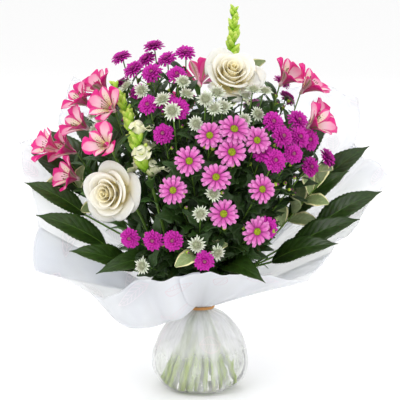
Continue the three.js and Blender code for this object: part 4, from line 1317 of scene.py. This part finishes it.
def makeSmallLeafStem(name, bearing, reach, height, leaves):
    node = CadNode(name, turned(bearing, reach, height), 0.6)
    start = node.atHeight(node.top - 2)
    best = None
    for i in range(60):
        swing = ((i * 7) % 41) - 20 if i else 0
        end = turned(bearing + swing, reach - 4 * (i % 3), height + 6 * (i % 5))
        ring = np.abs(np.linalg.norm(node.points - end, axis=1) - 0.9)
        miss = np.sort(ring)[:2].mean()
        if best is None or miss < best[0] - 1e-3:
            best = (miss, end)
    end = best[1]
    forward = unit(end - start)
    across = unit(np.cross(forward, up))
    parts = [stemShape(node), tube(np.linspace(start, end, 8), np.linspace(1.0, 0.6, 8), 6, "stem", 0.2)]
    for k in range(leaves):
        root = start + (end - start) * (1 - 0.7 * k / leaves)
        tries = []
        for i in range(8):
            out = unit(forward * 0.7 + spun(across, forward, k * leafTurn + i * 0.5))
            length = smallLeaf["length"] * (1.15 if k < 2 else 0.9) * (1 - 0.07 * i)
            tries.append((node.miss(root + out * length), out, length))
        miss, out, length = min(tries, key=lambda t: t[0])
        if miss <= nearEnough["leaf"]:
            turn = frameAt(out, leafFace(out, 0.4))
            parts.append(moved(smallLeafShape(length, rng), turn, root))
    print(name, "twig miss", round(float(best[0]), 2), "leaves", len(parts) - 2)
    makePiece(name + "_leaves", joined(parts), [name])


def makeLeafStems():
    for i, row in enumerate(bigLeafStems):
        makeBigLeafStem(f"large_leaf_stem_{i + 1}", *row)
    for i, row in enumerate(smallLeafStems):
        makeSmallLeafStem(f"pittosporum_stem_{i + 1}", *row)
    print("leafy stems made")


# Roses and snapdragons.
roses = {"rose_front": ((113, 190), 0.3), "rose_top": ((230, 74), 1.2)}
hip = [(0, -7.5), (2.2, -7), (5.4, -3.5), (6.2, 0), (5.0, 1.2), (0, 1.4)]
hipDrop = 1.4
sepalAngles = np.arange(5) * 1.257
roseSepal = {
    "root": 4.0, "length": 19, "width": 7, "bend": (-20, -50), "cup": -0.2, "lift": 0.0, "grid": (7, 3),
    "stops": [(0, 1), (0.4, 0.8), (0.8, 0.3), (1, 0.06)], "thickness": 0.6,
}


def roseSeat(place):
    # a rose's middle is a little inside the dome, and its face turns to the viewer
    point, outward = onDome(place, -4)
    return point, unit(outward + towardsViewer * 0.45)


def makeRoses():
    for name, (place, spin) in roses.items():
        point, face = roseSeat(place)
        turn = facing(face, spin)
        makePiece(name + "_petals", moved(roseBloom(rng), turn, point), [name + "_bloom"])
        node = CadNode(name + "_stem", point, 0.5)
        hipPoint = point - face * (rose["width"] * 0.3 + hipDrop)
        bend = hipPoint - face * 34
        neckPath = curve(node.atHeight(node.top - 2), bend, hipPoint, steps(12))
        parts = [
            stemShape(node), tube(neckPath, np.linspace(1.5, 2.0, 12), 8, "stem", 0.4),
            moved(turnedForm(hip, 14, "stem"), turn, hipPoint),
            moved(petalRing(sepalAngles, roseSepal, "foliage", rng), turn, hipPoint),
        ]
        line = np.concatenate([node.path()[-8:], neckPath])
        parts.extend(stalkLeaves(line, {"leaf": (44, 24, 0, "foliage")}, 14, 0.0, 0.8))
        makePiece(name + "_greens", joined(parts), [name + "_stem"])
    print("roses made")


spikes = {
    # foot and tip in the picture, how far each stands out of the dome, and how many of the lowest
    # places are open florets
    "snapdragon_left": ((158, 172), (118, 85), 4, 8, 6),
    "snapdragon_top": ((232, 66), (234, 8), -24, 0, 2),
}
spike = {
    # "shut" are the places among the open florets that still hold a bud
    "buds": 13, "bud": 22, "lastBud": 10, "share": 0.52, "floret": 26, "floretWidth": 21, "shut": (4,),
    # the spike is dense: more buds stand round each place, each a little higher than the last,
    # turned by these radians
    "moreBuds": (0.9, 2.1, 3.4, 4.9), "moreRise": 0.007,
}
snapShapes = {
    # radius as a share of the width, height as a share of the length
    "bud": [(0, 0), (0.2, 0), (0.38, 0.12), (0.48, 0.34), (0.45, 0.56), (0.33, 0.78), (0.16, 0.94),
            (0, 1.0)],
    "throat": [(0, 0), (0.2, 0.02), (0.3, 0.16), (0.29, 0.36), (0.36, 0.52), (0.28, 0.58), (0, 0.44)],
    "palate": [(0, 0.0), (0.22, 0.02), (0.3, 0.12), (0.2, 0.24), (0, 0.3)],
}
alongY = np.array([[1, 0, 0], [0, 0, 1], [0, -1, 0]], float)


def snapSepals(root, length, width, bend, draw):
    spec = {"root": root, "length": length, "width": width, "bend": bend, "cup": 0.3, "lift": 0,
            "stops": [(0, 0.8), (0.5, 1), (1, 0.1)], "grid": (3, 3)}
    return petalRing(sepalAngles, spec, "stem", draw)


def snapBud(size, width, draw):
    # a closed bud, a little wider one way, root at the origin, tip along +Y
    stops = np.array(snapShapes["bud"]) * [width, size]
    oval = 1 + 0.12 * np.cos(2 * roundAngles(10)) * np.ones((len(stops), 1))
    form = turnedForm(stops, 10, "bud", draw.uniform(0.2, 0.9), oval)
    sepals = snapSepals(width * 0.2, size * 0.5, size * 0.3, (70, 80), draw)
    return moved(joined([form, sepals]), alongY, np.zeros(3))


def snapFloret(size, width, draw):
    # a two-lipped floret: a short tube, two upright upper lobes, three lower lobes and the palate
    form = turnedForm(np.array(snapShapes["throat"]) * [width, size], 14, "snap", 0.25)
    lobe = {"root": width * 0.2, "length": size * 0.56, "width": width * 0.72, "bend": (80, 6), "cup": 0.3,
            "lift": size * 0.44, "stops": [(0, 0.5), (0.35, 0.85), (0.7, 1), (0.9, 0.85), (1, 0.55)],
            "grid": (11, 9), "ripple": 0.34, "waves": 13.0, "thickness": 0.5, "loose": 0.2}
    lower = {**lobe, "length": size * 0.42, "width": width * 0.5, "bend": (40, -70)}
    palate = turnedForm(snapShapes["palate"], 10, "snap", 1.0)
    palate = moved(palate, np.eye(3), np.array([0, -width * 0.2, size * 0.46]), width)
    parts = joined([
        form, palate, petalRing(np.radians([-26, 26]), lobe, "snap", draw, 0.8),
        petalRing(np.radians([126, 180, 234]), lower, "snap", draw, 0.7),
        snapSepals(width * 0.14, size * 0.34, size * 0.24, (66, 50), draw),
    ])
    return moved(parts, alongY, np.zeros(3))


def makeSnapdragons():
    for name, (foot, tip, footLift, tipLift, openCount) in spikes.items():
        low, high = onDome(foot, footLift)[0], onDome(tip, tipLift)[0]
        node = CadNode(name, low, 0.55)
        bend = low * 0.9 + high * 0.1
        start = node.atHeight(node.top - 2)
        rachis = curve(start, bend, high, steps(40))
        parts = [stemShape(node), tube(rachis[:25], 1.8, 8, "stem", 0.2)]
        parts.append(tube(rachis[24:], np.linspace(1.8, 0.9, 16), 8, "paleStem", 0.3))
        parts.extend(stalkLeaves(rachis[:26], {"leaf": (37, 13, 0, "longLeaf")}, 16, 0.1, 1.0))
        for k in range(spike["buds"]):
            share = k / (spike["buds"] - 1)
            isOpen = k < openCount and k not in spike["shut"]
            budSize = spike["bud"] * (1 - share) + spike["lastBud"] * share
            t = 1 - spike["share"] * (1 - share)
            forward = unit(2 * (1 - t) * (bend - start) + 2 * t * (high - bend))
            side = spun(unit(np.cross(forward, towardsViewer)), forward, k * leafTurn)
            out = unit(forward * (0.5 if isOpen else 1.3) + side)
            if isOpen:
                form = snapFloret(spike["floret"], spike["floretWidth"], rng)
            else:
                form = snapBud(budSize, budSize * 0.5, rng)
            parts.append(moved(form, frameAt(out, forward), curve(start, bend, high, t) - out))
            for angle in spike["moreBuds"] if k < spike["buds"] - 1 else ():
                out = unit(forward * 1.3 + spun(side, forward, angle))
                place = curve(start, bend, high, min(t + spike["moreRise"] * angle, 1))
                small = budSize * rng.uniform(0.8, 1.0)
                parts.append(moved(snapBud(small, small * 0.5, rng), frameAt(out, forward), place - out))
        makePiece(name + "_florets", joined(parts), [name])
    print("snapdragons made")


# Film collar, bag, water and tie.
sheets = {
    # first bearing, the film's length past the tie at every 10 degrees from there, layer
    "film_sheet_back_left": (80, (304, 303, 306, 318, 330, 352, 304, 258, 268), 0),
    "film_sheet_back_right": (20, (256, 268, 336, 350, 338, 328, 304, 303, 306), 1),
    "film_sheet_left": (150, (258, 268, 286, 240, 200, 196), 1),
    "film_sheet_right": (-40, (168, 184, 190, 206, 262, 268, 256, 268), 0),
    "film_lobe_front_left": (190, (200, 196, 170, 148, 148, 146, 142, 138, 138), 0),
    "film_lobe_front_right": (260, (138, 138, 138, 140, 146, 156, 168, 184), 1),
}
film = {
    "rows": 49, "perColumn": 12, "thickness": 0.25, "fold": 0.019,
    "gather": 1.3,    # depth of the tight pleats at the tie
    # the layers lie close and look milkier in front: bearing and share
    "milky": ((0, 150, 236, 256, 296, 316, 360), (0.15, 0.15, 0.1, 0.9, 0.9, 0.15, 0.15)),
}


def filmSurface(start, lengths, layer):
    # the CAD collar's own surface, with smaller folds that fade out towards the tie and are the
    # same on every sheet, so that the layers stay apart
    columns = (len(lengths) - 1) * film["perColumn"] + 1
    bearing = start + np.linspace(0, 10 * (len(lengths) - 1), columns)
    ends = np.interp(bearing, start + 10.0 * np.arange(len(lengths)), lengths)
    share, bearing = np.meshgrid(np.linspace(0, 1, film["rows"]) ** 0.9, bearing, indexing="ij")
    length = share * ends[None, :]
    slope = collarSlope(bearing)
    hang = roundCollar("bellies", bearing) * np.sin(np.pi * np.minimum(length / collar["bellyReach"], 1))
    pleat = collar["pleat"] * length * np.sin(np.radians(bearing * 9))
    away = np.clip((length - 30) / 110, 0, 1)
    folds = ridge(bearing * 0.061 + length * 0.002) + 0.7 * ridge(bearing * 0.113 - length * 0.003 + 0.3)
    small = film["fold"] * length * away * folds
    tight = np.clip(length / 12, 0, 1) * np.exp(-length / 55)
    uneven = 40 * np.sin(np.radians(bearing * 5))
    small = small + film["gather"] * tight * np.sin(np.radians(bearing * 24 + uneven))
    out = collar["innerRadius"] + layer * collar["layerPitch"] + length * np.cos(slope) - pleat
    out = out + collar["bulge"] * hang - small * np.sin(slope)
    height = collar["start"] - layer * collar["layerDrop"] + length * np.sin(slope)
    height = height - collar["sag"] * hang + small * np.cos(slope)
    angle = np.radians(bearing)
    grid = np.stack([out * np.cos(angle), out * np.sin(angle), height], -1)
    return grid, length, bearing


def ridge(phase):
    # a fold's section: long flat sides that meet in a soft crease, from -0.5 to 0.5
    saw = np.abs(phase - np.floor(phase) - 0.5) * 2
    return np.sqrt(saw ** 2 + 0.01) - 0.5


def makeFilm():
    for name, (start, lengths, layer) in sheets.items():
        grid, length, bearing = filmSurface(start, lengths, layer)
        shape = blades(grid[None], film["thickness"], "film", 0.5)
        shape["tint"] = np.tile(np.interp(bearing.ravel() % 360, *film["milky"]), 2)
        # the uv is the flat cut's own millimetres, for the print
        angle = np.radians(bearing)
        cut = np.stack([length * np.cos(angle), length * np.sin(angle)], -1)
        shape["uv"] = np.tile(cut.reshape(-1, 2), (2, 1))
        piece = makePiece(name + "_film", shape, [name])
    print("film made")


bag = {
    # radius and height; the curve through them is kept to the two greatest below, before the waves
    "outline": [(33, 0), (52, 10), (60, 36), (52, 66), (36, 88), (14.8, 99), (14.8, 105)],
    "radius": 60, "height": 105, "film": 0.3, "rows": 60, "columns": 168,
    # each wave: depth as a share of the radius, count round the bag, drift in radians for each mm
    # of height, and first angle
    "folds": ((0.030, 7, 0, 0.6), (0.014, 19, 0.05, 0), (0.008, 37, -0.04, 0)),
    "crumples": ((0.008, 5, 0.12, -math.pi / 2), (0.006, 11, -0.2, 0)),
    "foot": ((0.03, 6, 0, 1.0),),
    # folds grow between these heights, the foot's waves end at this one, and all but the foot's fade
    # out towards the neck between these
    "foldHeights": (30, 90), "footTop": 26, "fadeHeights": (87, 101),
}
fill = {"inset": 3.2, "low": 1.4, "high": 52}    # the water: how far inside the bag, and its heights


def smoothLine(stops, count):
    # a soft curve through the stops (Catmull-Rom), as radius and height
    stops = np.array(stops, float)
    full = np.concatenate([stops[:1], stops, stops[-1:]])
    t = np.linspace(0, len(stops) - 1.0001, count)
    k = t.astype(int)
    f = (t - k)[:, None]
    a, b, c, d = (full[k + j] for j in range(4))
    square, cube = 2 * a - 5 * b + 4 * c - d, 3 * b - a - 3 * c + d
    return 0.5 * (2 * b + (c - a) * f + square * f ** 2 + cube * f ** 3)


def bagGrid(inset):
    line = smoothLine(bag["outline"], bag["rows"])
    radius = np.minimum(line[:, 0], bag["radius"])[:, None] - inset
    height = np.clip(line[:, 1], 0, bag["height"])[:, None]
    angle = np.linspace(0, 2 * np.pi, bag["columns"], endpoint=False)[None, :]
    upper = np.interp(height, bag["foldHeights"], (0, 1)) ** 0.8
    lower = np.clip(1 - height / bag["footTop"], 0, 1)
    taper = np.interp(height, bag["fadeHeights"], (1, 0))

    def waves(kind):
        rows = bag[kind]
        return sum(depth * np.cos(n * angle + height * drift + first) for depth, n, drift, first in rows)

    swell = (waves("folds") - 0.05) * upper * taper + waves("crumples") * taper + waves("foot") * lower
    out = radius * (1 + swell - 0.012)
    return np.stack([out * np.cos(angle), out * np.sin(angle), height + 0 * angle], -1)


def makeBag():
    outer = bagGrid(0.0)
    inner = bagGrid(bag["film"])
    inner[0, :, 2] += bag["film"]
    grid = np.concatenate([onAxis(0), outer, inner[::-1], onAxis(bag["film"])])
    shape = closedForm(grid, "bag")
    # the same uv runs up the outside and down the inside
    shape["uv"][:, 1] = 1 - np.abs(1 - 2 * shape["uv"][:, 1])
    makePiece("pleated_bag_film", shape, ["water_bag_film"])
    print("bag made")


def onAxis(height):
    return np.zeros((1, bag["columns"], 3)) + [0, 0, height]


def makeWater():
    body = bagGrid(fill["inset"])
    height = body[:, 0, 2]
    body = body[(height > fill["low"]) & (height <= fill["high"])]
    body[0, :, 2] = fill["low"]
    body[-1, :, 2] = fill["high"]
    grid = np.concatenate([onAxis(fill["low"]), body, onAxis(fill["high"])])
    makePiece("still_water", closedForm(grid, "water"), ["water"])
    print("water made")


tie = {"radius": 16.6, "height": 102, "strands": 9, "strand": 0.55, "spread": 2.3}


def makeTie():
    # strands of raffia wound round the neck, each wandering a little
    parts = []
    for k in range(tie["strands"]):
        t = np.linspace(0, 2 * np.pi, 65)
        share = (k + 0.5) / tie["strands"] * 2 - 1
        wander = 0.5 * np.sin(3 * t + k * 1.7) + 0.35 * np.sin(5 * t + k)
        height = tie["height"] + share * (tie["spread"] - 0.9) + 0.7 * wander
        bulge = 0.75 * math.sqrt(max(0, 1 - share ** 2))
        radius = tie["radius"] + bulge + 0.25 * np.sin(4 * t + 2.1 * k)
        path = np.stack([radius * np.cos(t), radius * np.sin(t), height], -1)
        parts.append(tube(path, tie["strand"], 6, "raffia", 0.5))
    makePiece("raffia_strands", joined(parts), ["raffia_tie"])
    print("tie made")


def makeFloor():
    bpy.ops.mesh.primitive_plane_add(size=12, location=(0, 0, -0.0002))
    floor = bpy.context.object
    floor.name = "floor"
    floor.data.materials.append(floorMaterial())
    floor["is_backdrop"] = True


noteCrowns()
makeTie()
makeFilm()
makeBag()
makeWater()
makeRoses()
makeSnapdragons()
makeSprays()
makeLeafStems()
makeFloor()

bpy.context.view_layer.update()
meshes = [piece.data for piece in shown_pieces() if piece.type == "MESH"]
print("triangles", sum(len(mesh.loop_triangles) or len(mesh.polygons) * 2 for mesh in meshes))
